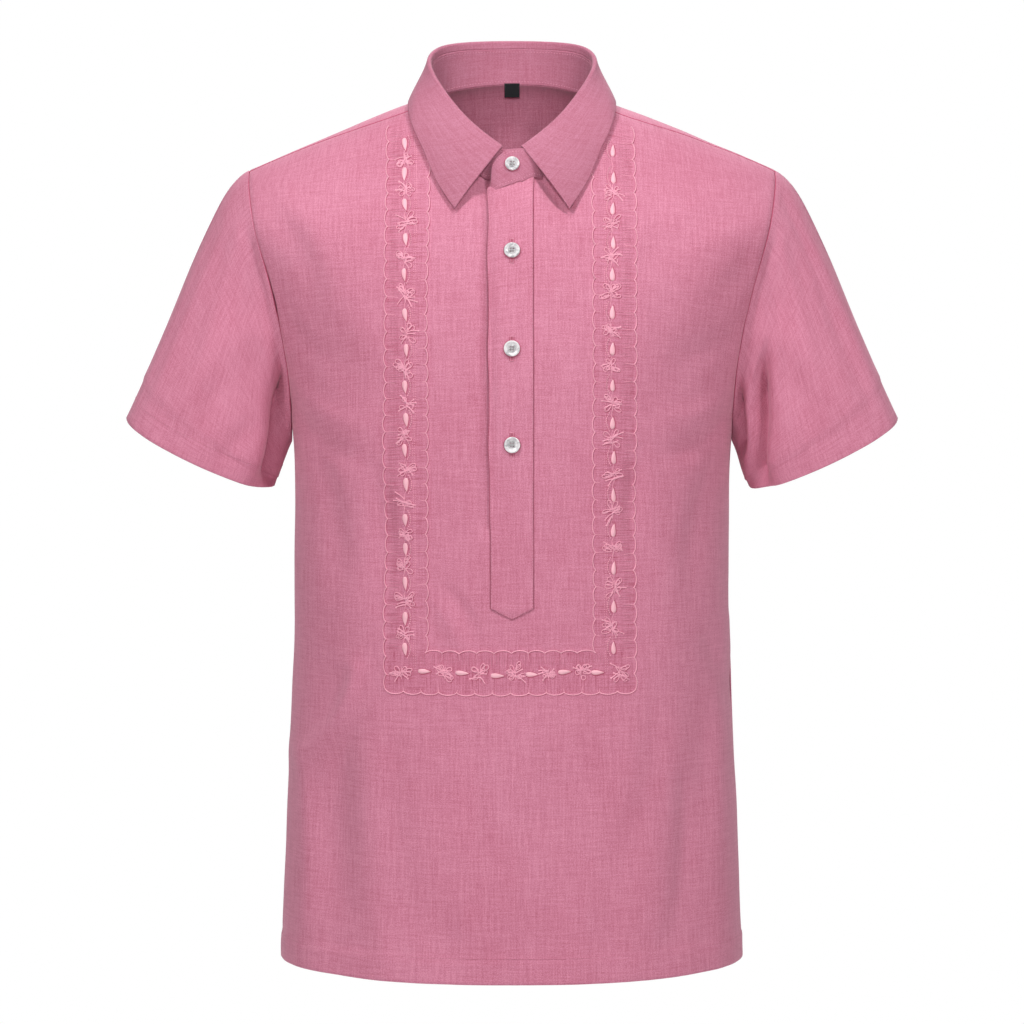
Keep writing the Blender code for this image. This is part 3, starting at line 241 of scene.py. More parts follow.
# Folds of a sleeve: the trough runs from one turn about the sleeve (0 at the armpit, half at the top)
# and share of its length to another; width is a share of the turn, depth is in mm.
# Columns: from_turn, from_along, to_turn, to_along, width, depth
SLEEVE_FOLDS = {
    "front drag": (0.22, 0.15, 0.34, 0.95, 0.035, 3.0),
    "front inner": (0.10, 0.35, 0.14, 1.0, 0.03, 2.5),
    "outer drag": (0.44, 0.30, 0.40, 1.0, 0.04, 2.0),
    "back drag": (0.72, 0.20, 0.68, 1.0, 0.04, 3.0),
}
SLEEVE_CREASES = {
    "sleeve_left": {
        "armhole pinch": (0.10, 0.0, 0.075, 0.3, 0.03, 9.0),
        "inner fold": (0.19, 0.35, 0.09, 0.85, 0.03, 17.0),
        "inner fold ridge": (0.245, 0.4, 0.16, 0.95, 0.03, -2.4),
        "inner bulge": (0.12, 0.25, 0.06, 0.75, 0.028, -2.0),
        "front drag": (0.33, 0.0, 0.24, 0.6, 0.022, 2.2),
        "front ridge": (0.37, 0.1, 0.285, 0.7, 0.024, -2.0),
        "shoulder drag": (0.44, 0.1, 0.39, 0.6, 0.02, 1.6),
        "outer": (0.40, 0.55, 0.36, 1.0, 0.03, 1.6),
        "back": (0.62, 0.15, 0.60, 0.9, 0.025, 3.0),
        "back inner": (0.88, 0.20, 0.93, 1.0, 0.025, 5.0),
    },
    "sleeve_right": {
        "underarm": (0.11, 0.0, 0.055, 0.85, 0.045, 17.0),
        "underarm ridge": (0.20, 0.2, 0.14, 0.9, 0.03, -2.2),
        "lower drag": (0.17, 0.7, 0.21, 1.0, 0.02, 1.6),
        "front drag": (0.34, 0.0, 0.26, 0.7, 0.024, 2.4),
        "front ridge": (0.39, 0.1, 0.31, 0.7, 0.026, -1.8),
        "outer": (0.44, 0.35, 0.41, 0.95, 0.022, 1.8),
        "back": (0.66, 0.20, 0.62, 1.0, 0.025, 3.4),
        "back inner": (0.92, 0.15, 0.90, 0.8, 0.028, 5.0),
    },
}
SLEEVE_FOLD_FADE = 0.3
SLEEVE_CREASE_FADE = 0.15
SLEEVE_SEAM_HOLD = 0.08
SLEEVE_CUFF_HOLD = 0.16
ARMHOLE_HOLLOW = 1.2 * MM

# Folds of the body cloth: each trough's line, its bow on the way, its width and its depth (below 0, a ridge)
# Columns: top_x, top_z, bottom_x, bottom_z, bow, width, depth
FRONT_FOLDS = {
    "right side hollow": (-164, -455, -152, -735, 0, 24, 4.5),
    "left side hollow": (168, -430, 157, -730, 0, 24, 3.5),
    "right armhole drag": (-196, -150, -128, -245, 0, 22, 2.5),
    "left chest drag": (192, -165, 130, -250, 0, 22, 2.5),
    "right tail drag": (-75, -430, -30, -500, 0, 14, 1.2),
}
BACK_FOLDS = {
    "right back hollow": (-120, -300, -140, -735, 0, 30, 4.5),
    "left back hollow": (112, -330, 135, -735, 0, 28, 5.0),
    "right blade drag": (-190, -165, -110, -260, 0, 24, 3.0),
    "left blade drag": (190, -175, 116, -270, 0, 24, 2.5),
}
FRONT_CREASES = {
    "right hollow ridge": (-133, -486, -181, -566, 7, 10, -8.0),
    "right hollow edge": (-184, -560, -180, -742, 4, 9, -3.4),
    "right hollow crease": (-146, -500, -148, -710, -6, 20, 6.0),
    "right band side": (-116, -318, -110, -415, 4, 14, 4.2),
    "right rib": (-168, -300, -152, -420, 8, 12, 3.7),
    "right armpit": (-188, -262, -128, -306, -9, 9, 2.8),
    "right armpit ridge": (-186, -236, -130, -276, -9, 8, -2.0),
    "right arm drag": (-204, -168, -152, -226, -7, 9, 2.0),
    "right shoulder": (-211, -89, -165, -168, 6, 13, 2.2),
    "right shoulder ridge": (-196, -80, -150, -160, 6, 11, -1.4),
    "right tail": (-54, -414, -28, -474, 5, 7, 2.7),
    "right tail ridge": (-70, -420, -42, -478, 5, 7, -1.5),
    "left hollow edge": (186, -450, 184, -740, -5, 10, -3.4),
    "left hollow crease": (170, -462, 186, -530, 6, 9, 3.7),
    "left hollow low": (148, -580, 136, -730, 7, 11, 3.2),
    "left band side": (108, -300, 106, -392, -4, 12, 3.6),
    "left rib": (174, -308, 156, -430, -8, 12, 3.6),
    "left armpit": (186, -268, 132, -300, 9, 9, 2.8),
    "left armpit ridge": (185, -243, 136, -270, 9, 8, -2.0),
    "left arm drag": (201, -186, 150, -218, 6, 10, 2.0),
    "left shoulder": (203, -92, 132, -124, -7, 12, 1.8),
    "left shoulder low": (209, -120, 172, -168, 6, 11, 1.6),
    "left chest": (120, -110, 108, -150, 5, 9, 1.5),
    "left hip": (120, -520, 98, -640, 9, 14, 2.2),
    "right hip": (-100, -550, -86, -700, -7, 15, 2.5),
    "middle low": (22, -560, 36, -720, 7, 17, 2.0),
    "middle left": (-32, -505, -24, -640, -8, 15, 1.5),
    "inner right": (-52, -150, -58, -330, 6, 14, 1.5),
    "inner left": (46, -130, 52, -340, -6, 14, 1.5),
    "pocket by the stand": (-27, -44, -24, -84, 0, 7, 7.0),
    "under the left leaf": (22, -56, 50, -92, 0, 9, 8.0),
    "placket gap": (-19.6, -60, -19.1, -360, 0.3, 6.2, 8.4),
    "hem ripple right": (-58, -690, -56, -750, 2, 14, 2.0),
    "hem ripple left": (78, -684, 82, -750, -3, 15, 2.0),
    "hem ripple far": (-112, -700, -116, -750, 2, 10, -1.9),
}
BACK_CREASES = {
    "middle low": (12, -420, -6, -720, 12, 16, 2.4),
    "middle high": (-26, -200, -34, -380, -9, 13, 1.7),
    "left waist": (70, -300, 86, -470, 8, 11, 2.2),
    "right waist": (-84, -290, -70, -460, -9, 10, 2.4),
    "right waist ridge": (-98, -300, -92, -480, -9, 9, -2.0),
    "left low": (92, -560, 80, -735, 7, 12, 2.0),
    "right low": (-96, -540, -110, -735, -6, 11, 2.2),
    "left armpit": (186, -262, 124, -304, 8, 9, 3.1),
    "right armpit": (-187, -258, -118, -296, -8, 8, 3.2),
    "left arm drag": (198, -180, 148, -226, 6, 9, 2.5),
    "right arm drag": (-199, -186, -152, -238, -6, 10, 2.5),
    "left shoulder blade": (150, -110, 96, -210, 9, 14, 1.9),
    "right shoulder blade": (-146, -104, -100, -196, -8, 13, 2.0),
    "left side": (172, -330, 168, -620, 7, 12, 2.5),
    "right side": (-174, -350, -170, -600, -7, 12, 2.4),
    "hem ripple left": (44, -690, 48, -748, -3, 14, 1.5),
    "hem ripple right": (-46, -684, -42, -748, 3, 13, 1.5),
}

# How round the body's middle stays, how far from the ridge the folds fade in, and their depth at the ends
MID_SOFTNESS = 0.12
FOLD_FADE = 60 * MM
FOLD_END_SHARE = 0.55

# Edges and hems as sewn: the rolled edge, how far a seam draws it in, and the hems' second layer.
EDGE_ROLL = 0.9 * MM
EDGE_TUCK = 0.22 * MM
EDGE_DIP = 0.4 * MM
HEM_DEPTH = 22 * MM
HEM_STEP = 0.9 * MM
HEM_EASE = 1.2 * MM
CUFF_HEM = 19.5 * MM
CUFF_RUN = 190 * MM
SEAM_STITCH = 2.6 * MM
PUCKER = 0.26 * MM
SLACK = 0.5 * MM
SEAM_LINE_RISE = -0.3 * MM
YOKE_LINE_RISE = 0.35 * MM

# Mesh divisions
NECK_COLUMNS = 26
SEAM_COLUMNS = 42
SLOT_COLUMNS = 8
FRONT_ROWS = (120, 22, 84)
BACK_ROWS = (128, 58)
YOKE_COLUMNS = (26, 110, 26)
SLEEVE_ROWS = 84
STAND_SPANS = 200
STAND_END_SPANS = 16
STAND_ROWS = 14
LEAF_SPANS = 220
LEAF_ROWS = 32
PLACKET_ROWS = 150
PLACKET_TAIL_ROWS = 26
FACE_STEP = 1.0 * MM

# Studio and camera. Lamps: place, what each is aimed at, size and power, in metres and watts
FLOOR_Z = -1.45
FLOOR_REACH = 60.0
WORLD_LIGHT = 0.25
WORLD_TINT = (1.0, 0.95, 0.97, 1)
LAMPS = {
    "key": ((-1.2, -1.8, 1.95), (0, 0, -0.2), 0.5, 39),
    "side": ((1.3, -1.8, 1.95), (0, 0, -0.2), 0.4, 33),
    "fill": ((0.0, -3.2, 0.1), (0, 0, -0.2), 0.8, 19),
    "top": ((0.0, -0.5, 2.6), (0, 0, 0), 0.6, 18),
    "back": ((0.2, 2.4, 1.6), (0, 0, -0.3), 1.8, 48),
}
NECK_LAMP = ((0, -2.4, 0.05), (0, 0.08, 0.015), 0.05, 85)
NECK_LAMP_BEAM = math.radians(3.6)
CAMERA_PLACE = (0.0, -3.4, -0.169)
CAMERA_PITCH = math.radians(3.14)
CAMERA_LENS = 135.8

# The cloth's own colours, in linear light; the collar's pair is the same cloth made darker, painted shade
DARK_PINK = (0.50, 0.138, 0.216)
LIGHT_PINK = (0.70, 0.280, 0.395)
COLLAR_SHADED_DARK = (0.385, 0.107, 0.168)
COLLAR_SHADED_LIGHT = (0.525, 0.211, 0.298)


# ---------------------------------------------------------------- curves and surfaces


def cubic_spline(knots, values, at):
    """The natural cubic spline through values (a row for each knot), read at the places in at."""
    knots, values = np.asarray(knots, float), np.asarray(values, float)
    step = np.diff(knots)
    inner = np.arange(1, len(knots) - 1)
    matrix = np.eye(len(knots))
    matrix[inner, inner - 1] = step[:-1]
    matrix[inner, inner] = 2 * (step[:-1] + step[1:])
    matrix[inner, inner + 1] = step[1:]
    right = np.zeros_like(values)
    right[1:-1] = 6 * np.diff(np.diff(values, axis=0) / step[:, None], axis=0)
    bend = np.linalg.solve(matrix, right)
    at = np.clip(np.asarray(at, float), knots[0], knots[-1])
    low = np.clip(np.searchsorted(knots, at, side="right") - 1, 0, len(knots) - 2)
    wide, back, ahead = (value[..., None] for value in (step[low], knots[low + 1] - at, at - knots[low]))
    curved = (bend[low] * back**3 + bend[low + 1] * ahead**3) / (6 * wide)
    straight_low = (values[low] / wide - bend[low] * wide / 6) * back
    straight_high = (values[low + 1] / wide - bend[low + 1] * wide / 6) * ahead
    return curved + straight_low + straight_high


def chord_lengths(points):
    """How far along its chords each point of a line lies."""
    return np.concatenate(([0.0], np.cumsum(np.linalg.norm(np.diff(points, axis=0), axis=1))))


def unit(vectors):
    """Vectors at a length of 1."""
    return vectors / np.maximum(np.linalg.norm(vectors, axis=-1, keepdims=True), 1e-12)


def hump(away, width):
    """1 where away is 0, falling off smoothly over width on both sides."""
    return np.exp(-((away / width) ** 2))


def share_past(value, start):
    """How far value has come on the way from start to 1."""
    return np.clip((value - start) / (1 - start), 0, 1)


def read_line(at, reach, line):
    """A line's points read at the places at, reach saying how far along each point lies."""
    return np.stack([np.interp(at, reach, column) for column in np.asarray(line).T], axis=-1)


def read_grid(grid, row, column):
    """A grid's values read between its rows and columns."""
    row = np.clip(row, 0, grid.shape[0] - 1.001)
    column = np.clip(column, 0, grid.shape[1] - 1.001)
    low, left = row.astype(int), column.astype(int)
    up, over = row - low, column - left
    if grid.ndim > 2:
        up, over = up[..., None], over[..., None]
    near = grid[low, left] * (1 - up) + grid[low + 1, left] * up
    far = grid[low, left + 1] * (1 - up) + grid[low + 1, left + 1] * up
    return near * (1 - over) + far * over


def read_table(table, columns):
    """A table's columns by name, each with one value for every row."""
    return dict(zip(columns, np.array(list(table.values()), float).T))


SIDE = read_table(SIDE_LINE, SIDE_COLUMNS)
SIDE_POINTS = np.stack([SIDE[name] * MM for name in SIDE_COLUMNS], axis=-1)
SIDE_KNOTS = chord_lengths(SIDE_POINTS)
SECTION = read_table(BODY_SECTIONS, SECTION_COLUMNS)
SECTION_MIDDLES = np.stack((SECTION["mid_y"], SECTION["mid_z"]), axis=-1) * MM
SECTION_KNOTS = chord_lengths(SECTION_MIDDLES)
SECTION_SIDES = np.interp(SECTION["side_z"], SIDE["z"], SIDE_KNOTS)
SECTION_FORMS = np.column_stack((SECTION_SIDES, SECTION_MIDDLES, SECTION["squareness"], SECTION["drop"]))
SECTION_PLACES = dict(zip(BODY_SECTIONS, SECTION_KNOTS))
RIDGE = SECTION_PLACES["shoulder ridge"]
BODY_END = SECTION_PLACES["back hem"]


def section_at(along):
    """The side point, middle (y, z), squareness and drop of the section at along."""
    row = cubic_spline(SECTION_KNOTS, SECTION_FORMS, along)
    return cubic_spline(SIDE_KNOTS, SIDE_POINTS, row[..., 0]), row[..., 1:3], row[..., 3], row[..., 4]


def smooth_section(across, along):
    """The body surface without its folds: across is -1 to 1 from side to side, along runs front to back."""
    across, along = np.broadcast_arrays(np.asarray(across, float), np.asarray(along, float))
    side, middle, squareness, drop = section_at(along)
    share = np.clip(np.sin(0.5 * np.pi * np.abs(np.clip(across, -1, 1))), 0, 1)
    x = np.sign(across) * side[..., 0] * share
    y = side[..., 1] + (middle[..., 0] - side[..., 1]) * np.sqrt(np.clip(1 - share**squareness, 0, 1))
    soft = np.sqrt(share**2 + MID_SOFTNESS**2) - MID_SOFTNESS
    soft /= math.sqrt(1 + MID_SOFTNESS**2) - MID_SOFTNESS
    z = side[..., 2] + (middle[..., 1] - side[..., 2]) * (1 - soft**drop)
    return np.stack((x, y, z), axis=-1)


def press(points, folds, broad):
    """How deep folds press the cloth in at points.

    A broad fold keeps its width and part of its depth to the ends; a crease widens on its way and fades out.
    """
    deep = np.zeros(points.shape[:-1])
    for row in folds.values():
        top_x, top_z, bottom_x, bottom_z, bow, width, depth = np.array(row) * MM
        run = np.array((bottom_x - top_x, bottom_z - top_z))
        away = points[..., [0, 2]] - np.array((top_x, top_z))
        share = (away @ run) / (run @ run)
        held = np.clip(share, 0, 1)
        past = np.abs(share - held) * np.linalg.norm(run)
        aside = np.hypot(away @ unit(np.array((-run[1], run[0]))) - bow * 4 * held * (1 - held), past)
        if broad:
            swell = FOLD_END_SHARE + (1 - FOLD_END_SHARE) * np.sin(np.pi * held)
        else:
            swell = np.sin(np.pi * (0.12 + 0.76 * held))
            width = width * (0.75 + 0.5 * held)
        deep += depth * swell * hump(aside, width)
    return deep


def slack(points):
    """Gentle unevenness of hung cloth, with no pattern to it."""
    x, y, z = points[..., 0], points[..., 1], points[..., 2]
    waves = (
        np.sin(31 * x + 17 * z + 1.3) * np.sin(23 * z - 9 * x + 0.4)
        + 0.6 * np.sin(64 * x - 21 * z + 2.1 + 8 * y) * np.sin(37 * z + 14 * x)
        + 0.35 * np.sin(118 * x + 33 * z) * np.sin(71 * z - 26 * x + 0.9)
    )
    return SLACK * waves


def hem_layers(from_edge, depth, reach, ripple):
    """Where a hem's second layer lies (0 to 1), and how far its sewing and its edge pucker the cloth."""
    layer = np.clip((depth + HEM_EASE - from_edge) / (2 * HEM_EASE), 0, 1)
    near = hump(from_edge - depth, reach) + 0.6 * hump(from_edge, reach + 1 * MM)
    return layer, PUCKER * near * ripple


def surface_normals(surface, across, along):
    """Outward unit normals of a surface by small differences."""
    step_across, step_along = 0.002, 0.5 * MM
    low, high = np.clip(across - step_across, -1, 1), np.clip(across + step_across, -1, 1)
    before, after = np.clip(along - step_along, 0, BODY_END), np.clip(along + step_along, 0, BODY_END)
    over = surface(high, along) - surface(low, along)
    return unit(np.cross(over, surface(across, after) - surface(across, before)))


def body(across, along):
    """The middle of the body cloth, folds included."""
    across, along = np.broadcast_arrays(np.asarray(across, float), np.asarray(along, float))
    points = smooth_section(across, along)
    x = points[..., 0]
    ripple = np.sin(410 * x + 2.2 * np.sin(95 * x)) + 0.7 * np.sin(263 * x + 1.9 * np.sin(61 * x) + 0.8)
    layer, pucker = hem_layers(np.minimum(along, BODY_END - along), HEM_DEPTH, 7 * MM, ripple)
    deep = slack(points) - HEM_STEP * layer * layer * (3 - 2 * layer) - pucker
    for way, folds, creases in ((1, FRONT_FOLDS, FRONT_CREASES), (-1, BACK_FOLDS, BACK_CREASES)):
        share = np.clip(way * (RIDGE - along) / FOLD_FADE, 0, 1)
        deep = deep + share * (press(points, folds, True) + press(points, creases, False))
    return points - surface_normals(smooth_section, across, along) * deep[..., None]


def on_body(across, along, lift=0.0):
    """Points at a height over the middle of the body cloth, with its normals there."""
    normals = surface_normals(body, across, along)
    return body(across, along) + normals * np.asarray(lift)[..., None], normals


def across_at(x, along):
    """Where the section at along reaches x."""
    return 2 / np.pi * np.arcsin(np.clip(x / section_at(along)[0][..., 0], -1, 1))


def along_at(x, z):
    """Where the line at x on the front is as high as z."""
    runs = np.linspace(0, RIDGE, 1500)
    return np.interp(z, smooth_section(across_at(x, runs), runs)[..., 2], runs)


GRID_ACROSS = np.linspace(-1, 1, 161)
GRID_ALONG = np.linspace(0, BODY_END, 700)
GRID_POINTS = smooth_section(GRID_ACROSS[None, :], GRID_ALONG[:, None])


def lengths_over(ring):
    """How far over a grid each point lies, counted from its middle column."""
    over = np.linalg.norm(np.diff(ring, axis=1), axis=-1).cumsum(axis=1)
    over = np.concatenate((np.zeros((len(over), 1)), over), axis=1)
    return over - over[:, over.shape[1] // 2][:, None]


GRID_OVER = lengths_over(GRID_POINTS)


def body_grain(across, along):
    """Where the body cloth's points lie in its weave: lengths over from the middle and along."""
    row, column = along / BODY_END * (len(GRID_ALONG) - 1), (across + 1) / 2 * (len(GRID_ACROSS) - 1)
    return np.stack((read_grid(GRID_OVER, row, column), along), axis=-1)


def locate(target):
    """The (across, along) of the surface point nearest to a point."""
    nearest = np.argmin(((GRID_POINTS - target) ** 2).sum(-1))
    row, column = np.unravel_index(nearest, GRID_POINTS.shape[:2])
    place = np.array((GRID_ACROSS[column], GRID_ALONG[row]))
    steps = np.diag((0.001, 0.2 * MM))
    for _ in range(8):
        slopes = []
        for step in steps:
            apart = smooth_section(*(place + step)) - smooth_section(*(place - step))
            slopes.append(apart / (2 * step.sum()))
        move = np.linalg.lstsq(np.stack(slopes, axis=1), target - smooth_section(*place), rcond=None)[0]
        place = np.clip(place + np.clip(move, (-0.05, -0.01), (0.05, 0.01)), (-1, 0), (1, BODY_END))
    return place


def resample(stations, count):
    """Evenly spaced stations along a line that is already on the body."""
    run = chord_lengths(smooth_section(*stations.T))
    return read_line(np.linspace(0, run[-1], count), run, stations)


def surface_line(stations, count):
    """A smooth line on the body through stations (across, along), as count evenly spaced stations."""
    stations = np.asarray(stations, float)
    reach = chord_lengths(smooth_section(*stations.T))
    return resample(cubic_spline(reach, stations, np.linspace(0, reach[-1], 400)), count)


def seam_line(points_mm, count):
    """A smooth line in space through points, laid on the body, as count evenly spaced stations."""
    points = np.array(points_mm, float) * MM
    reach = chord_lengths(points)
    fine = cubic_spline(reach, points, np.linspace(0, reach[-1], count))
    return resample(np.array([locate(point) for point in fine]), count)


def blend_patch(bottom, top, left, right):
    """Fills a four-sided region of (across, along) between its edges, rows by columns."""
    up = np.linspace(0, 1, len(left))[:, None, None]
    over = np.linspace(0, 1, len(bottom))[None, :, None]
    low_corners, high_corners = ((1 - over) * edge[0] + over * edge[-1] for edge in (bottom, top))
    between = (1 - up) * bottom[None] + up * top[None] + (1 - over) * left[:, None] + over * right[:, None]
    return between - (1 - up) * low_corners - up * high_corners


def mirrored(stations):
    """Stations on the other side of the body."""
    return np.asarray(stations) * np.array((-1.0, 1.0))


def joined(*lines):
    """Lines end to end, with the shared stations kept once."""
    return np.vstack([lines[0]] + [line[1:] for line in lines[1:]])


def grid_normals(points, closed=False):
    """Unit normals of a grid of points, rows by columns; closed joins the last column to the first."""
    if closed:
        over = np.roll(points, -1, axis=1) - np.roll(points, 1, axis=1)
    else:
        over = np.gradient(points, axis=1)
    return unit(np.cross(over, np.gradient(points, axis=0)))


def bezier(first, second, third, fourth, share):
    """Rows of points on the curves from first to fourth, drawn toward second and third on the way."""
    share = share[:, None, None]
    rest = 1 - share
    return rest**3 * first + 3 * rest**2 * share * second + 3 * rest * share**2 * third + share**3 * fourth


# ---------------------------------------------------------------- finishes


def fill(tree, inputs, values):
    """Sets inputs to values, or links them to the outputs given."""
    for key, value in values.items():
        if isinstance(value, bpy.types.NodeSocket):
            tree.links.new(value, inputs[key])
        else:
            inputs[key].default_value = value


def add_node(tree, kind, values, **settings):
    """A new node of a kind with its settings, its inputs filled."""
    made = tree.nodes.new("ShaderNode" + kind)
    for name, value in settings.items():
        setattr(made, name, value)
    fill(tree, made.inputs, values)
    return made


class Finish:
    """A material under way: its node tree and the places of its cloth in the weave, in metres."""

    def __init__(self, name):
        self.material = bpy.data.materials.new(name)
        self.material.use_nodes = True
        self.tree = self.material.node_tree
        self.grain = add_node(self.tree, "UVMap", {}, uv_map="grain").outputs["UV"]

    def surface(self, **values):
        """Sets the shader's inputs, a name's spaces written as lines."""
        named = {key.replace("_", " "): value for key, value in values.items()}
        fill(self.tree, self.tree.nodes["Principled BSDF"].inputs, named)

    def reckon(self, operation, *values):
        """The result of a maths node on outputs and numbers."""
        return add_node(self.tree, "Math", dict(enumerate(values)), operation=operation).outputs[0]

    def noise(self, scale, detail=2.0, offset=0.0):
        """Noise on the weave, stretched to so many features a metre over and along it."""
        moved = {"Vector": self.grain, "Scale": (*scale, 1.0), "Location": (offset, offset * 0.7, offset)}
        place = add_node(self.tree, "Mapping", moved).outputs["Vector"]
        values = {"Vector": place, "Scale": 1.0, "Detail": detail, "Roughness": 0.55}
        return add_node(self.tree, "TexNoise", values).outputs["Fac"]

    def blend(self, *parts):
        """The sum of noises by their weights, each taken about its middle, and the whole about a half."""
        total = 0.5 - 0.5 * sum(weight for _, weight in parts)
        for noise, weight in parts:
            total = self.reckon("MULTIPLY_ADD", noise, weight, total)
        return total

    def limit(self, value):
        return self.reckon("MAXIMUM", self.reckon("MINIMUM", value, 1.0), 0.0)

    def within(self, value, middle, half):
        """1 where value is within half of middle, falling to 0 over a millimetre."""
        away = self.reckon("ABSOLUTE", self.reckon("SUBTRACT", value, middle))
        return self.limit(self.reckon("MULTIPLY", self.reckon("SUBTRACT", half, away), 1 / MM))

    def tint(self, share, dark, light, limited=True):
        """Colours the surface from dark to light by share."""
        values = {0: share, 6: (*dark, 1), 7: (*light, 1)}
        mix = add_node(self.tree, "Mix", values, data_type="RGBA", clamp_factor=limited)
        self.surface(Base_Color=mix.outputs[2])

    def relief(self, height, strength, distance):
        values = {"Height": height, "Strength": strength, "Distance": distance}
        self.surface(Normal=add_node(self.tree, "Bump", values).outputs["Normal"])


def drawn_threads(finish):
    """How much the embroidered bands' pulled threads darken the cloth, worked out from its place."""
    place = add_node(finish.tree, "TexCoord", {}).outputs["Object"]
    x, _, z = add_node(finish.tree, "SeparateXYZ", {0: place}).outputs
    aside = finish.reckon("ABSOLUTE", finish.reckon("SUBTRACT", x, BAND_CENTRE_X))
    upright = finish.within(aside, BAND_OFFSET_X, BAND_HALF + 1 * MM)
    upright = finish.reckon("MULTIPLY", upright, finish.reckon("GREATER_THAN", z, BAND_BOTTOM_Z - BAND_HALF))
    level = finish.within(z, BAND_BOTTOM_Z, BAND_HALF + 1 * MM)
    level = finish.reckon("MULTIPLY", level, finish.within(aside, 0.0, BAND_OFFSET_X + BAND_HALF))
    across_rungs, level_rungs = finish.noise((42, 900), 1.0, 11.0), finish.noise((900, 42), 1.0, 12.0)
    both = []
    for mask, rungs, ground in ((upright, across_rungs, 0.02), (level, level_rungs, 0.08)):
        lines = finish.limit(finish.reckon("MULTIPLY", finish.reckon("SUBTRACT", rungs, 0.5), 5.0))
        both.append(finish.reckon("MULTIPLY", mask, finish.reckon("MULTIPLY_ADD", lines, 0.5, ground)))
    return finish.reckon("MAXIMUM", *both)


def woven_finish(name, dark, light, slub=1.0, banded=False):
    """Plain-woven slubby cloth: uneven threads both ways, in colour and in relief."""
    finish = Finish(name)
    warp, weft = finish.noise((760, 45), 3.0), finish.noise((60, 760), 3.0, 7.3)
    thick_warp, thick_weft = finish.noise((300, 16), 1.0, 3.1), finish.noise((26, 300), 1.0, 5.9)
    fleck, cloud = finish.noise((1150, 1150), 1.0, 2.2), finish.noise((11, 9), 2.0, 1.7)
    threads = (warp, 0.95 * slub), (weft, 0.7 * slub), (thick_warp, 0.42 * slub), (thick_weft, 0.28 * slub)
    shade = finish.blend(*threads, (fleck, 1.5), (cloud, 0.4))
    if banded:
        shade = finish.reckon("SUBTRACT", shade, drawn_threads(finish))
    finish.tint(shade, dark, light, limited=not banded)
    finish.surface(Roughness=0.82, Specular_IOR_Level=0.25, Sheen_Weight=0.24, Sheen_Roughness=0.45,
                   Sheen_Tint=(1.0, 0.75, 0.83, 1))
    greys = {"Color1": (0.2, 0.2, 0.2, 1), "Color2": (0.8, 0.8, 0.8, 1)}
    squares = {"Vector": finish.grain, "Scale": 1 / (0.55 * MM), **greys}
    weave = add_node(finish.tree, "TexChecker", squares).outputs["Fac"]
    threads = (warp, 0.9), (weft, 0.7), (thick_warp, 0.4), (thick_weft, 0.3)
    finish.relief(finish.blend(*threads, (fleck, 1.2), (weave, 0.12)), 0.55, 0.22 * MM)
    return finish.material


def thread_finish(name, dark, light, pitch_mm, rough=0.5, sheen=0.5, specular=0.5):
    """Twisted thread or satin stitches: fine stripes along the work, lighter where they catch the light."""
    finish = Finish(name)
    stripe = finish.noise((0.4 / (pitch_mm * MM), 1 / (pitch_mm * MM)), 1.0)
    finish.tint(stripe, dark, light)
    finish.surface(Roughness=rough, Specular_IOR_Level=specular, Sheen_Weight=sheen, Sheen_Roughness=0.3)
    finish.relief(stripe, 0.5, 0.12 * MM)
    return finish.material


def pearl_finish(name, shade):
    """Shell buttons: cool white with soft clouds of pink and grey under a hard polish."""
    finish = Finish(name)
    place = add_node(finish.tree, "TexCoord", {}).outputs["Object"]
    values = {"Vector": place, "Scale": 160, "Detail": 2, "Distortion": 1.5}
    ramp = add_node(finish.tree, "ValToRGB", {0: add_node(finish.tree, "TexNoise", values).outputs["Fac"]})
    stops = ramp.color_ramp.elements
    stops.new(0.5)
    clouds = ((0.34, (0.50, 0.49, 0.51)), (0.5, (0.76, 0.74, 0.75)), (0.62, (0.90, 0.87, 0.88)))
    for stop, (place, colour) in zip(stops, clouds):
        stop.position, stop.color = place, (*(part * shade for part in colour), 1)
    finish.surface(Base_Color=ramp.outputs[0], Roughness=0.22, Coat_Weight=0.4, Coat_Roughness=0.08)
    return finish.material


WEAVE = woven_finish("slub_cloth", DARK_PINK, LIGHT_PINK)
BANDED_WEAVE = woven_finish("slub_cloth_banded", DARK_PINK, LIGHT_PINK, banded=True)
# The collar and stand take a darker copy of the same cloth: painted shade
COLLAR_PAINTED_SHADE_WEAVE = woven_finish("slub_cloth_collar_painted_shade", COLLAR_SHADED_DARK, COLLAR_SHADED_LIGHT, 0.9)
BLACK_SATIN = thread_finish("black_satin", (0.004, 0.004, 0.005), (0.012, 0.012, 0.014), 0.35, 0.6, 0.0, 0.08)
THREAD = thread_finish("pink_thread", (0.56, 0.19, 0.28), (0.74, 0.30, 0.41), 0.5)
CORD = thread_finish("cord_thread", (0.74, 0.29, 0.40), (0.94, 0.46, 0.58), 0.6, 0.5, 0.12)
SATIN = thread_finish("satin_thread", (0.82, 0.38, 0.46), (0.93, 0.54, 0.61), 0.4, 0.38, 0.3)
# Dark thread laid where shade falls, as painted shadow: beside raised embroidery, under the placket's edges,
# along the seams, in the buttonholes and round the buttons
PAINTED_SHADE_THREAD = thread_finish("painted_shade_thread", (0.42, 0.07, 0.135), (0.56, 0.12, 0.20), 0.5, 0.7, 0.05, 0.1)
DARK_THREAD = thread_finish("black_thread", (0.012, 0.012, 0.013), (0.04, 0.04, 0.045), 0.4)
DRAWN_THREAD = thread_finish("ladder_thread", (0.41, 0.105, 0.165), (0.52, 0.15, 0.23), 0.5)
GREY_THREAD = thread_finish("grey_thread", (0.30, 0.29, 0.30), (0.44, 0.42, 0.43), 0.4)
PEARL = pearl_finish("pearl", 0.86)
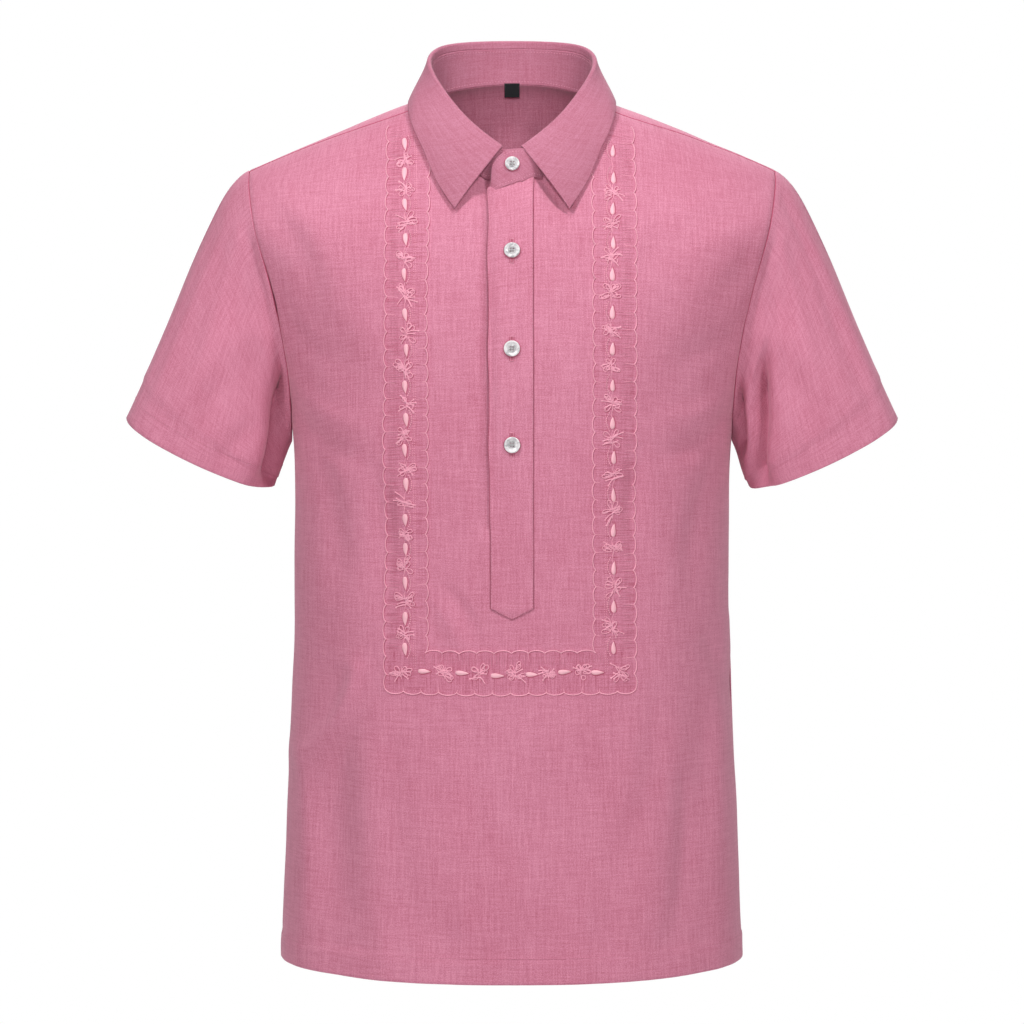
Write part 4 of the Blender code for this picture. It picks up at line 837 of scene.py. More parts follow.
# The same pearl made darker, for the button's dished flat: painted shade
PEARL_PAINTED_SHADE = pearl_finish("pearl_painted_shade", 0.6)
THREADS = [CORD, SATIN, PAINTED_SHADE_THREAD, DRAWN_THREAD]
CLOTHS = {"front": BANDED_WEAVE, "neck_label": BLACK_SATIN}
CLOTHS.update(dict.fromkeys(("collar_stand", "collar_leaf"), COLLAR_PAINTED_SHADE_WEAVE))
SLOTS = dict.fromkeys(("collar_stand", "collar_leaf", "placket_over", "placket_under"), "collar_cloth")
SLOTS["neck_label"] = "label_satin"
SURFACES = {}


# ---------------------------------------------------------------- meshes


class Batch:
    """Grids of points gathered into one mesh, with a place in the weave, in metres, at every corner."""

    def __init__(self):
        self.points, self.faces, self.grains, self.kinds = [], [], [], []
        self.count = 0

    def add_grid(self, points, grain, kind=0, cells=None, flip=False):
        """Faces over a grid; it is closed round if grain has one more column than points."""
        columns = points.shape[1]
        if cells is None:
            cells = np.ones((len(points) - 1, grain.shape[1] - 1), bool)
        row, column = np.nonzero(cells)
        near, beside, up = row * columns + column, row * columns + (column + 1) % columns, columns
        faces = np.stack((near, beside, beside + up, near + up), axis=-1) + self.count
        rows = np.stack((row, row, row + 1, row + 1), axis=1)
        corners = grain[rows, np.stack((column, column + 1, column + 1, column), axis=1)]
        self.points.append(points.reshape(-1, 3))
        self.count += len(self.points[-1])
        self.add_faces(faces[:, ::-1] if flip else faces, corners[:, ::-1] if flip else corners, kind)
        return faces, corners

    def add_faces(self, faces, corners, kind=0):
        self.faces.append(faces)
        self.grains.append(corners)
        self.kinds.append(np.full(len(faces), kind))

    def add_tube(self, path, normals, radius, sides=5, kind=0):
        """A thread along path."""
        beside = unit(np.cross(unit(np.gradient(path, axis=0)), normals))
        turn = np.linspace(0, 2 * np.pi, sides + 1)
        radius = np.broadcast_to(radius, len(path))[:, None]
        ring = normals[:, None] * np.cos(turn[:-1, None]) + beside[:, None] * np.sin(turn[:-1, None])
        grain = np.stack((turn * radius, chord_lengths(path)[:, None] + 0 * turn), axis=-1)
        self.add_grid(path[:, None] + ring * radius[..., None], grain, kind)

    def add_stitches(self, path, normals, pitch=2.6 * MM, length=1.9 * MM, radius=0.2 * MM):
        """A row of separate stitches along path, each a short thread that dives in at its ends."""
        run = chord_lengths(path)
        share = np.array((0.0, 0.2, 0.5, 0.8, 1.0))
        sink = np.array((-1.3, 0.15, 0.5, 0.15, -1.3))[:, None] * radius
        thick = radius * np.array((0.5, 1.0, 1.1, 1.0, 0.5))
        for start in np.arange(0.5 * (pitch - length), run[-1] - length, pitch):
            at = start + length * share
            ups = unit(read_line(at, run, normals))
            self.add_tube(read_line(at, run, path) + ups * sink, ups, thick, 4)

    def piece(self, name, finishes, slot, nodes=()):
        """The gathered mesh as a piece of the shirt that stands for the CAD nodes given."""
        mesh = bpy.data.meshes.new(name)
        mesh.from_pydata(np.concatenate(self.points).tolist(), [], np.concatenate(self.faces).tolist())
        layer = mesh.uv_layers.new(name="grain")
        layer.data.foreach_set("uv", np.concatenate(self.grains).astype(np.float32).ravel())
        for finish in finishes:
            mesh.materials.append(finish)
        mesh.polygons.foreach_set("material_index", np.concatenate(self.kinds).astype(np.int32))
        mesh.shade_smooth()
        mesh.update()
        made = bpy.data.objects.new(name, mesh)
        bpy.context.scene.collection.objects.link(made)
        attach(made, "root")
        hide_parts(*nodes)
        return made


def bordered(grids, columns_too):
    """Grids of points, normals and grain with an extra row, and column, close to each of their edges."""
    for turned in (False, True)[: 1 + columns_too]:
        if turned:
            grids = [np.swapaxes(grid, 0, 1) for grid in grids]
        points, made = grids[0], []
        gaps = [np.linalg.norm(points[inside] - points[edge], axis=-1) for edge, inside in ((0, 1), (-1, -2))]
        shares = [np.clip(EDGE_ROLL / np.maximum(gap, 1e-6), 0.02, 0.8)[None, :, None] for gap in gaps]
        for grid in grids:
            wider = grid.shape[1] - points.shape[1]
            near, far = (np.concatenate((share, share[:, :wider]), axis=1) for share in shares)
            first = grid[:1] * (1 - near) + grid[1:2] * near
            last = grid[-1:] * (1 - far) + grid[-2:-1] * far
            made.append(np.concatenate((grid[:1], first, grid[1:-1], last, grid[-1:])))
        grids = [np.swapaxes(grid, 0, 1) for grid in made] if turned else made
    return grids


def grid_grain(points, closed=False):
    """Lengths over and along a grid, counted from its middle column and first row."""
    ring = np.concatenate((points, points[:, :1]), axis=1) if closed else points
    over = lengths_over(ring)
    along = chord_lengths(ring[:, ring.shape[1] // 2])
    return np.stack((over, np.broadcast_to(along[:, None], over.shape)), axis=-1)


def dress(name, points, normals, thickness, grain, cells=None, closed=False, rolled=(True, True)):
    """A thin shell of cloth for the CAD node: outer and inner face, with rolled edges all round.

    rolled says whether the first and the last row are drawn in as a seam or an edge is.
    """
    if cells is not None:
        cells = np.pad(cells, 1, constant_values=True)
        cells[-2:] = cells[-3]
    points, normals, grain = bordered((points, normals, grain), not closed)
    edge = np.zeros(points.shape[:2])
    edge[0], edge[-1] = rolled
    tuck = points.copy()
    for axis, (first, last) in enumerate((rolled, (True, True))[: 2 - closed]):
        drawn, held = np.swapaxes(tuck, 0, axis), np.swapaxes(points, 0, axis)
        drawn[0] += unit(held[1] - held[0]) * EDGE_TUCK * first
        drawn[-1] += unit(held[-2] - held[-1]) * EDGE_TUCK * last
    if not closed:
        edge[:, [0, -1]] = 1
    outer = tuck + normals * (thickness / 2 - EDGE_DIP * edge)[..., None]
    inner = tuck - normals * (thickness / 2 - 0.5 * EDGE_DIP * edge)[..., None]
    batch = Batch()
    faces, corners = batch.add_grid(outer, grain, cells=cells)
    batch.add_grid(inner, grain, cells=cells, flip=True)
    # The rim joins the two faces along every side that only one cell of the grid has.
    sides = ((0, 1), (1, 2), (2, 3), (3, 0))
    pairs, spots = (np.concatenate([grid[:, side] for side in sides]) for grid in (faces, corners))
    size = points.shape[0] * points.shape[1]
    names = np.sort(pairs, axis=1) @ np.array((size, 1))
    _, index, counts = np.unique(names, return_index=True, return_counts=True)
    rim, spots = pairs[index[counts == 1]], spots[index[counts == 1]]
    batch.add_faces(np.column_stack((rim[:, ::-1], rim + size)), spots[:, (1, 0, 0, 1)])
    SURFACES[name] = (points, normals)
    batch.piece("cloth_" + name, [CLOTHS.get(name, WEAVE)], SLOTS.get(name, "cloth"), [name])


def dress_panel(name, grid, cells=None):
    """The cloth of a panel of the body, from its grid of stations."""
    across, along = grid[..., 0], grid[..., 1]
    dress(name, *on_body(across, along), CLOTH, body_grain(across, along), cells=cells)


# ---------------------------------------------------------------- seam lines on the body

ARMPIT = np.array((1.0, SECTION_PLACES["front armpit"]))
ARMPIT_BACK = np.array((1.0, SECTION_PLACES["back armpit"]))


def plan_station(x, y):
    """The (across, along) of the top of the body seen from above at x, y."""
    runs = np.linspace(SECTION_PLACES["front chest"], SECTION_PLACES["back blade"], 1200)
    run = np.interp(y, smooth_section(across_at(x, runs), runs)[..., 1], runs)
    return np.array((across_at(x, run), run))


def nearest_station(line, point_mm):
    """Which station of a line on the body is nearest to a point."""
    return int(np.argmin(((smooth_section(*line.T) / MM - point_mm) ** 2).sum(-1)))


COLLAR = {name: values * MM for name, values in read_table(COLLAR_STATIONS, COLLAR_COLUMNS).items()}
NECK_HALF = [plan_station(x, y) for x, y in zip(COLLAR["neck_x"], COLLAR["neck_y"])]
NECK_LINE = surface_line(NECK_HALF + [plan_station(0.0, NECK_FRONT_Y)], 241)
YOKE_NECK_INDEX = nearest_station(NECK_LINE, YOKE_NECK_POINT)
YOKE_NECK = NECK_LINE[YOKE_NECK_INDEX]
ARMHOLE_LINE = seam_line(list(ARMHOLE.values()), 181)
YOKE_TIP = nearest_station(ARMHOLE_LINE, ARMHOLE["yoke seam"])
ARM_FRONT = np.vstack((ARMPIT, ARMHOLE_LINE[1 : YOKE_TIP + 1]))
ARM_BACK = np.vstack((ARMPIT_BACK, ARMHOLE_LINE[-2 : YOKE_TIP - 1 : -1]))
YOKE_SEAM = seam_line([smooth_section(*YOKE_NECK) / MM, *YOKE_FRONT_SEAM, ARMHOLE["yoke seam"]], 61)
YOKE_SEAM[0] = YOKE_NECK
YOKE_SEAM[-1] = ARM_FRONT[-1]


# ---------------------------------------------------------------- body panels


def front_half_stations():
    """The left half of the front, from the slot's edge to the side seam and armhole."""
    low_rows, mid_rows, arm_rows = FRONT_ROWS
    neck = NECK_LINE[YOKE_NECK_INDEX:]
    order = np.argsort(smooth_section(*neck.T)[:, 0])
    slot_top = read_line(SLOT_HALF, smooth_section(*neck[order].T)[:, 0], neck[order])
    slot_run = along_at(SLOT_HALF, SLOT_BOTTOM_Z)
    below = np.linspace(0, slot_run, low_rows + 1)
    runs = np.concatenate((below, np.linspace(slot_run, slot_top[1], mid_rows + arm_rows + 1)[1:]))
    inner = np.stack((across_at(SLOT_HALF, runs), runs), axis=-1)
    side = np.linspace((1, 0), ARMPIT, low_rows + mid_rows + 1)
    cut = int(np.searchsorted(-neck[:, 0], -slot_top[0]))
    neck = np.vstack((neck[:cut], slot_top))[::-1]
    top = joined(resample(neck, NECK_COLUMNS + 1), resample(YOKE_SEAM, SEAM_COLUMNS + 1))
    bottom = np.linspace((inner[0, 0], 0), (1, 0), NECK_COLUMNS + SEAM_COLUMNS + 1)
    return blend_patch(bottom, top, inner, joined(side, resample(ARM_FRONT, arm_rows + 1)))


def make_front():
    """The front: whole below the placket, slit for it above, cut away for neck and arms."""
    half = front_half_stations()
    other = mirrored(half)[:, ::-1]
    steps = np.linspace(-1, 1, SLOT_COLUMNS + 1)[1:-1]
    middle = np.stack([half[:, 0] * np.array((step, 1)) for step in steps], axis=1)
    grid = np.concatenate((other, middle, half), axis=1)
    cells = np.ones((grid.shape[0] - 1, grid.shape[1] - 1), bool)
    first_slot = other.shape[1] - 1
    cells[FRONT_ROWS[0]:, first_slot:first_slot + SLOT_COLUMNS] = False
    dress_panel("front", grid, cells)


def yoke_back_stations():
    """The yoke's back seam from the right armhole to the left one, and its place in the left armhole."""
    corner = nearest_station(ARM_BACK, YOKE_BACK_SIDE)
    side_across, side_run = ARM_BACK[corner]
    runs = np.linspace(RIDGE, BODY_END, 1500)
    heights = smooth_section(0.0, runs)[..., 2]
    crest = np.argmax(heights)
    mid_run = np.interp(-YOKE_BACK_MID_Z, -heights[crest:], runs[crest:])
    share = np.linspace(-1, 1, 161)
    return np.stack((share * side_across, mid_run + (side_run - mid_run) * share**2), axis=-1), corner


YOKE_BACK_SEAM, YOKE_CORNER = yoke_back_stations()


def make_back():
    """The back, from its hem up to the yoke's seam and round the armholes."""
    body_rows, arm_rows = BACK_ROWS
    side = np.linspace((1, BODY_END), ARMPIT_BACK, body_rows + 1)
    side = joined(side, resample(ARM_BACK[: YOKE_CORNER + 1], arm_rows + 1))
    columns = YOKE_COLUMNS[1] + 1
    bottom = np.linspace((-1, BODY_END), (1, BODY_END), columns)
    dress_panel("back", blend_patch(bottom, resample(YOKE_BACK_SEAM, columns), mirrored(side), side))


def make_yoke():
    """The yoke lies over both shoulders behind the neck, between the front seams and the back seam."""
    arm_steps, seam_steps, _ = YOKE_COLUMNS
    neck_back = NECK_LINE[: YOKE_NECK_INDEX + 1]
    inner = resample(joined(mirrored(neck_back)[::-1], neck_back), sum(YOKE_COLUMNS) + 1)
    arm = resample(ARM_BACK[YOKE_CORNER:], arm_steps + 1)
    outer = joined(mirrored(arm)[::-1], resample(YOKE_BACK_SEAM, seam_steps + 1), arm)
    right_seam, left_seam = (resample(seam, SEAM_COLUMNS + 1) for seam in (mirrored(YOKE_SEAM), YOKE_SEAM))
    dress_panel("yoke", blend_patch(inner, outer, right_seam, left_seam))


# ---------------------------------------------------------------- sleeves


def armhole_ring():
    """The stations of the left armhole where the panels have their corners, from the armpit up the front.

    Each comes with its turn about the sleeve: 0 at the armpit, half a turn at the shoulder's end.
    """
    front = resample(ARM_FRONT, FRONT_ROWS[2] + 1)
    yoke = resample(ARM_BACK[YOKE_CORNER:], YOKE_COLUMNS[0] + 1)[::-1]
    behind = joined(yoke, resample(ARM_BACK[: YOKE_CORNER + 1], BACK_ROWS[1] + 1)[::-1])
    front_run, behind_run = chord_lengths(body(*front.T)), chord_lengths(body(*behind.T))
    turn = np.concatenate((0.5 * front_run / front_run[-1], 0.5 + 0.5 * behind_run[1:-1] / behind_run[-1]))
    return np.vstack((front, behind[1:-1])), turn


def step_off(leaving, normals, heading):
    """How far a wall that turns from leaving to heading stands off the edge of the wall that it meets."""
    bend = np.arccos(np.clip((leaving * heading).sum(-1), -1, 1))
    side = np.sign((normals * heading).sum(-1))
    folded = np.clip(bend / (0.5 * np.pi) - 1, 0, 1)
    turned_by = np.minimum(bend, 0.5 * np.pi)
    room = 0.5 * CLOTH * np.tan(0.5 * turned_by)
    ahead = (SEAM_GAP + room) * (1 - folded)
    out = room * (1 - folded) + (CLOTH + SEAM_GAP) * folded
    return leaving * ahead[:, None] + normals * (side * out * np.sin(turned_by))[:, None]


def press_sleeve(turns, along, folds, fade):
    """How deep folds press the sleeve, at turns about it and shares of its length."""
    deep = 0
    for from_turn, from_along, to_turn, to_along, width, depth in folds.values():
        past = along - from_along
        middle = from_turn + (to_turn - from_turn) * np.clip(past / (to_along - from_along), 0, 1)
        swell = np.clip(past / fade + 0.5, 0, 1) * np.clip((to_along + 0.35 - along) / 0.3, 0, 1)
        away = np.abs(turns - middle)
        deep = deep + depth * MM * swell * hump(np.minimum(away, 1 - away), width)
    return deep


def sleeve_points(rows, creases):
    """The middle of a sleeve's cloth on the left side, rows from the armhole to the cuff."""
    ring, turns = armhole_ring()
    edge, normals = on_body(*ring.T)
    normals[0] = unit(normals[1] + normals[-1] + normals[0])
    leaving = unit(np.cross(unit(np.roll(edge, -1, axis=0) - np.roll(edge, 1, axis=0)), normals))
    leaving *= np.sign(leaving[0, 2])
    axis = np.array((math.sin(SLEEVE_LEAN), 0, -math.cos(SLEEVE_LEAN)))
    ways = np.array(((-axis[2], 0, axis[0]), (0, 1, 0), axis))
    turn = 2 * np.pi * turns
    cuff = (-CUFF_HALF_WIDTH * np.cos(turn), -CUFF_HALF_DEPTH * np.sin(turn), CUFF_FRONT_DROP * np.sin(turn))
    cuff = CUFF_CENTRE + np.stack(cuff, axis=-1) @ ways
    topness = (0.5 - 0.5 * np.cos(turn))[:, None]
    heading = unit(leaving * topness + axis * (1 - topness))
    first = edge + step_off(leaving, normals, heading)
    run = np.linalg.norm(cuff - first, axis=-1)[:, None]
    second = first + heading * np.minimum(SLEEVE_HEAD_REACH, SLEEVE_HEAD_SHARE * run)
    along = np.linspace(0, 1, rows + 1) ** SLEEVE_ROW_POWER
    points = bezier(first, second, cuff - axis * run * SLEEVE_RUN_SHARE, cuff, along)
    along = along[:, None]
    from_seam = np.clip(along / SLEEVE_SEAM_HOLD, 0, 1)
    held = from_seam * (0.25 + 0.75 * np.clip((1 - along) / SLEEVE_CUFF_HOLD, 0, 1))
    deep = press_sleeve(turns, along, SLEEVE_FOLDS, SLEEVE_FOLD_FADE)
    deep = deep - held * press_sleeve(turns, along, creases, SLEEVE_CREASE_FADE)
    beside_seam = hump(along - 0.1, 0.06) * from_seam
    deep -= ARMHOLE_HOLLOW * beside_seam * hump(np.abs(turns - 0.5) - 0.22, 0.13)
    ripple = np.sin(45 * turn + 2 * np.sin(9 * turn)) + 0.7 * np.sin(31 * turn + 1.7 * np.sin(5 * turn))
    layer, pucker = hem_layers((1 - along) * CUFF_RUN, CUFF_HEM, 6 * MM, ripple)
    deep -= HEM_STEP * layer + pucker - slack(points)
    return points - grid_normals(points, True) * deep[..., None]


def make_sleeves():
    for name, side in (("sleeve_left", 1), ("sleeve_right", -1)):
        points = sleeve_points(SLEEVE_ROWS, SLEEVE_CREASES[name]) * np.array((side, 1, 1))
        dress(name, points, grid_normals(points, True), CLOTH, grid_grain(points, True), closed=True)


# ---------------------------------------------------------------- collar


def collar_line(columns, at):
    """Columns of the collar table read along the collar, from -1 (right front) to 1 (left front)."""
    reach = chord_lengths(np.stack([COLLAR[name] for name in ("fold_x", "fold_y", "fold_z")], axis=-1))
    knots = np.concatenate((-reach[:0:-1], reach)) / reach[-1]
    values = np.stack([COLLAR[name] for name in columns], axis=-1)
    flip = np.array([-1.0 if name.endswith("_x") else 1.0 for name in columns])
    return cubic_spline(knots, np.vstack(((values * flip)[:0:-1], values)), at)


def collar_stations(at):
    """Where the neckline lies on the body under the collar."""
    return np.array([plan_station(x, y) for x, y in collar_line(("neck_x", "neck_y"), at)]).T


def collar_frame(at):
    """The collar's fold line with its rising and outward directions."""
    fold = collar_line(("fold_x", "fold_y", "fold_z"), at)
    ahead = unit(np.gradient(fold, axis=0))
    rise = fold - smooth_section(*collar_stations(at))
    rise = unit(rise - (rise * ahead).sum(-1, keepdims=True) * ahead)
    out = unit(np.cross(ahead, rise))
    return fold, rise, out * np.sign((out[:, :2] * fold[:, :2]).sum(-1))[:, None]


def leaf_seat(at):
    """Where the leaf leaves the stand, and how long its upright leg is."""
    fold, rise, out = collar_frame(at)
    leg = LEAF_LEG_BACK + (LEAF_LEG_FRONT - LEAF_LEG_BACK) * share_past(np.abs(at), LEAF_LEG_TURN)
    return fold - (rise + out) * ROLL_RADIUS - rise * leg[:, None], leg


def outward_normals(points, row):
    """The normals of a collar's grid, facing back in the middle of the row."""
    normals = grid_normals(points)
    return normals * np.sign(normals[row, points.shape[1] // 2, 1])


def make_stand():
    """The stand: a strip round the neck whose left end laps over its right end at the front."""
    at = np.linspace(-1, 1, STAND_SPANS + 1)
    base, top, out = body(*collar_stations(at)), leaf_seat(at)[0], collar_frame(at)[2]
    for index in np.nonzero(at > STAND_DROP_START)[0]:
        sunk = STAND_FRONT_DROP * share_past(at[index], STAND_DROP_START) ** 2
        run = along_at(base[index, 0], base[index, 2] - sunk)
        base[index] = body(across_at(base[index, 0], run), run)
    lap = STAND_LAP * np.sign(at) * share_past(np.abs(at), STAND_LAP_START) ** 2
    base = base + out * lap[:, None] + unit(top - base) * (STAND_LIFT + STAND_LAP_LIFT * np.abs(lap))[:, None]
    top = top + out * lap[:, None]
    share = np.linspace(0, 1, STAND_END_SPANS + 1)[1:]
    rounded = share_past(share, STAND_ROUND_START)
    ends = []
    for side, index, end_z in ((-1, 0, STAND_UNDER_END_Z), (1, -1, STAND_END_Z)):
        x = base[index, 0] + (-side * STAND_END_X - base[index, 0]) * share
        z = base[index, 2] + (end_z - base[index, 2]) * share
        runs = np.array([along_at(*place) for place in zip(x, z)])
        row_base = on_body(across_at(x, runs), runs, side * STAND_END_OUT)[0]
        row_y = top[index, 1] - side * STAND_END_LEAN * share
        row_top = np.stack((x, row_y, top[index, 2] - STAND_END_ROUND * rounded**2), axis=-1)
        ends.append((row_base, row_top))
    (right_base, right_top), (left_base, left_top) = ends
    base, top = np.vstack((right_base[::-1], base, left_base)), np.vstack((right_top[::-1], top, left_top))
    points = np.linspace(base, top, STAND_ROWS + 1)
    normals = outward_normals(points, 0)
    dress("collar_stand", points, normals, STAND_CLOTH, grid_grain(points), rolled=(False, False))
    return points, normals


def make_leaf():
    """The leaf: up from the stand, over the fold and down to its edge, with a point at each front end."""
    at = np.linspace(-1, 1, LEAF_SPANS + 1)
    seat, leg = leaf_seat(at)
    rise, out = collar_frame(at)[1:]
    edge = collar_line(("edge_x", "edge_y", "edge_z", "lift"), at)
    stations = np.array([locate(place) for place in edge[:, :3]]).T
    edge_normals = surface_normals(smooth_section, *stations)
    edge = smooth_section(*stations) + edge_normals * edge[:, 3:]
    centre = seat + rise * leg[:, None] + out * ROLL_RADIUS
    rows = [seat + rise * (SEAM_GAP + LEAF_SEAT_GAP)]
    rows += [centre + (out * math.cos(turn) + rise * math.sin(turn)) * ROLL_RADIUS for turn in LEAF_ROLL]
    start = rows[-1]
    bow = LEAF_BOW * np.linalg.norm(edge - start, axis=-1)[:, None]
    second = start - rise * bow + out * bow * LEAF_FULLNESS
    third = edge - unit(edge - start) * bow + edge_normals * bow * LEAF_FULLNESS
    down = bezier(start, second, third, edge, np.linspace(0, 1, LEAF_ROWS + 1)[1:])
    points = np.concatenate((rows, down))
    grain = grid_grain(points)[..., ::-1]
    dress("collar_leaf", points, outward_normals(points, -1), LEAF_CLOTH, grain, rolled=(False, True))


# ---------------------------------------------------------------- places on the front

RUN_X = np.linspace(-0.13, 0.13, 53)
RUN_Z = np.linspace(-0.52, 0.01, 266)
RUN_TABLE = np.array([along_at(x, RUN_Z) for x in RUN_X])


def runs_at(x, z):
    """Where the front is as high as z at x, for many places at once."""
    row, column = (x - RUN_X[0]) / (RUN_X[1] - RUN_X[0]), (z - RUN_Z[0]) / (RUN_Z[1] - RUN_Z[0])
    return read_grid(RUN_TABLE, row, column)


FACE_SPANS = np.arange(-0.12, 0.1201, FACE_STEP), np.arange(-0.515, 0.0051, FACE_STEP)
FACE_X, FACE_Z = np.meshgrid(*FACE_SPANS, indexing="ij")
FACE_RUNS = runs_at(FACE_X, FACE_Z)
FACE = np.concatenate(on_body(across_at(FACE_X, FACE_RUNS), FACE_RUNS), axis=-1)


def on_front(places, lift=0.0):
    """Points and normals on the front cloth's outer face at places (x, z), lifted off it."""
    row, column = (places[..., 0] - FACE_X[0, 0]) / FACE_STEP, (places[..., 1] - FACE_Z[0, 0]) / FACE_STEP
    found = read_grid(FACE, row, column)
    normals = unit(found[..., 3:])
    return found[..., :3] + normals * (CLOTH / 2 + np.asarray(lift)[..., None]), normals


# ---------------------------------------------------------------- placket


def front_strip(z_rows, top_slope, out, columns, edge_lift=0.0):
    """A grid over the middle of the front, out above the cloth, from the neck down."""
    x = np.linspace(-PLACKET_HALF, PLACKET_HALF, columns + 1)
    z_rows = z_rows[:, None]
    z = z_rows + top_slope * (1 - np.linspace(0, 1, len(z_rows))[:, None]) ** 3 * x
    x = np.broadcast_to(x, z.shape)
    runs = runs_at(x, z)
    open_part = np.clip((z_rows - PLACKET_LAP_END_Z) / PLACKET_OPENING_FADE, 0, 1)
    free_edge = np.clip(-x / PLACKET_HALF, 0, 1) ** 3 * open_part
    places, normals = on_body(across_at(x, runs), runs, out + edge_lift * free_edge)
    if edge_lift > 0:
        near = sum(hump(z_rows - button_z, PLACKET_WAVE_REACH) for button_z in PLACKET_BUTTONS_Z.values())
        places[..., 0] -= PLACKET_WAVE * free_edge * near
    return places[::-1], normals[::-1]


def make_over_placket():
    """The upper placket: open at the wearer's right edge, sewn down below, with a pointed end."""
    upper = np.linspace(NECK_FRONT_Z - PLACKET_TOP_DROP, PLACKET_LAP_END_Z, PLACKET_ROWS)
    lower = np.linspace(PLACKET_LAP_END_Z, PLACKET_SHOULDER_Z, PLACKET_TAIL_ROWS)[1:]
    z_rows = np.concatenate((upper, lower))
    points, normals = front_strip(z_rows, NECK_LAP_SLOPE, PLACKET_FACE, 16, PLACKET_EDGE_LIFT)
    tail = points[:1].copy()
    share = 1 - np.abs(np.linspace(-1, 1, points.shape[1]))
    tail[0, :, 2] -= PLACKET_TAIL_STEP + (PLACKET_SHOULDER_Z - PLACKET_POINT_Z) * share
    points, normals = np.vstack((tail, points)), np.vstack((normals[:1], normals))
    dress("placket_over", points, normals, CLOTH, grid_grain(points))


def make_under_placket():
    """The lower placket, behind the front's slit."""
    z_rows = np.linspace(NECK_FRONT_Z - UNDER_PLACKET_DROP, UNDER_PLACKET_BOTTOM_Z, PLACKET_ROWS)
    points, normals = front_strip(z_rows, 0.0, -PLACKET_FACE, 12)
    dress("placket_under", points, normals, CLOTH, grid_grain(points))


# ---------------------------------------------------------------- embroidery

# Where these finishes stand in THREADS; the first is the cord
IN_SATIN, IN_SHADE, IN_DRAWN_THREAD = 1, 2, 3


def turned(places, angle, centre):
    """Places (x, z) turned by angle and moved to centre."""
    cos, sin = math.cos(angle), math.sin(angle)
    return places @ np.array(((cos, sin), (-sin, cos))) + np.asarray(centre)


def painted_shadow_line(batch, places, radius=0.3 * MM):
    """A dark thread laid beside raised work, offset right and down, as its painted shadow."""
    batch.add_tube(*on_front(places, 0.0), radius, 4, IN_SHADE)


def drop(batch, centre, angle, length, half_width, bend):
    """A padded satin drop: its fat end at one end of its length, its point at the other."""
    share = np.linspace(0.0, 1.0, 21)[:, None]
    over = np.linspace(-1, 1, 11)
    wide = 2.7 * half_width * np.sqrt(share) * (1 - share) ** 1.1
    x = wide * over + bend * (share - 0.3) ** 2
    z = (0.5 - share) * length + 0 * x
    places = turned(np.stack((x, z), axis=-1), angle, centre)
    high = DROP_HEIGHT * np.sqrt(1 - over**2) * (wide / half_width) ** 0.6
    grain = np.stack((z, x), axis=-1)[:, ::-1]
    batch.add_grid(on_front(places, high - 0.25 * MM)[0][:, ::-1], grain, IN_SATIN)
    # A dark thread round its outline, offset right and down: painted shadow
    painted_shadow_line(batch, np.concatenate((places[1:, -1], places[-2:0:-1, 0])) + 0.6 * PAINTED_SHADOW_ASIDE, 0.32 * MM)


def knob(batch, place, reach):
    """The small raised knot at the end of a stroke."""
    tilt = np.linspace(0, 1, 4)[:, None] * np.pi / 2
    turn = np.linspace(0, 2 * np.pi, 8)[:-1]
    spots = place + reach * np.stack((np.sin(tilt) * np.cos(turn), np.sin(tilt) * np.sin(turn)), axis=-1)
    high = 0.9 * reach * np.cos(tilt) + 0 * turn - 0.1 * MM
    batch.add_grid(on_front(spots, high)[0], np.zeros((4, 8, 2)))


def flower(batch, rng, centre, size=1.0):
    """A loose sprig: knobbed strokes and looped petals that curl off a short stem, each one different."""
    count = rng.integers(10, 14)
    rise = np.linspace(-4.5, 4.5, 9) * size * MM
    stem = np.stack((rng.uniform(-0.8, 0.8) * MM * np.sin(np.linspace(0, 4, 9)), rise), axis=-1)
    batch.add_tube(*on_front(centre + stem, 0.15 * MM), 0.7 * FLOWER_THREAD, 5)
    for number in range(count):
        foot = centre + stem[rng.integers(1, 8)] * (0.9, 0.75)
        angle = (1 if number % 2 else -1) * rng.uniform(0.35, 2.5)
        length = size * rng.uniform(4.2, 8.6) * MM
        if rng.random() < 0.6:
            turn = np.linspace(0.06, 0.94, 13) * 2 * np.pi
            x = rng.uniform(1.9, 2.7) * MM * np.sin(turn) * np.sin(turn / 2) ** 1.3
            z = length * (0.1 + 0.9 * (1 - np.cos(turn)) / 2)
            radius = 0.8 * FLOWER_THREAD
        else:
            share = np.linspace(0, 1, 8)
            x = rng.uniform(0.6, 2.6) * MM * share**2 * -np.sign(angle)
            z = length * share
            radius = FLOWER_THREAD * rng.uniform(0.85, 1.15)
            knob(batch, turned(np.array((x[-1], z[-1])), angle, foot), radius * rng.uniform(1.3, 1.9))
        places = turned(np.stack((x, z), axis=-1), angle, foot)
        batch.add_tube(*on_front(places, 0.25 * MM), radius, 5)
        # A dark thread beside the stroke: painted shadow
        painted_shadow_line(batch, places + PAINTED_SHADOW_ASIDE)


def wander(rng, count, size):
    """A short row of uneven offsets that change gently."""
    steps = rng.normal(0, 1, count + 4)
    return size * np.convolve(steps, np.array((0.25, 0.5, 0.5, 0.5, 0.25)), "valid")[:count]


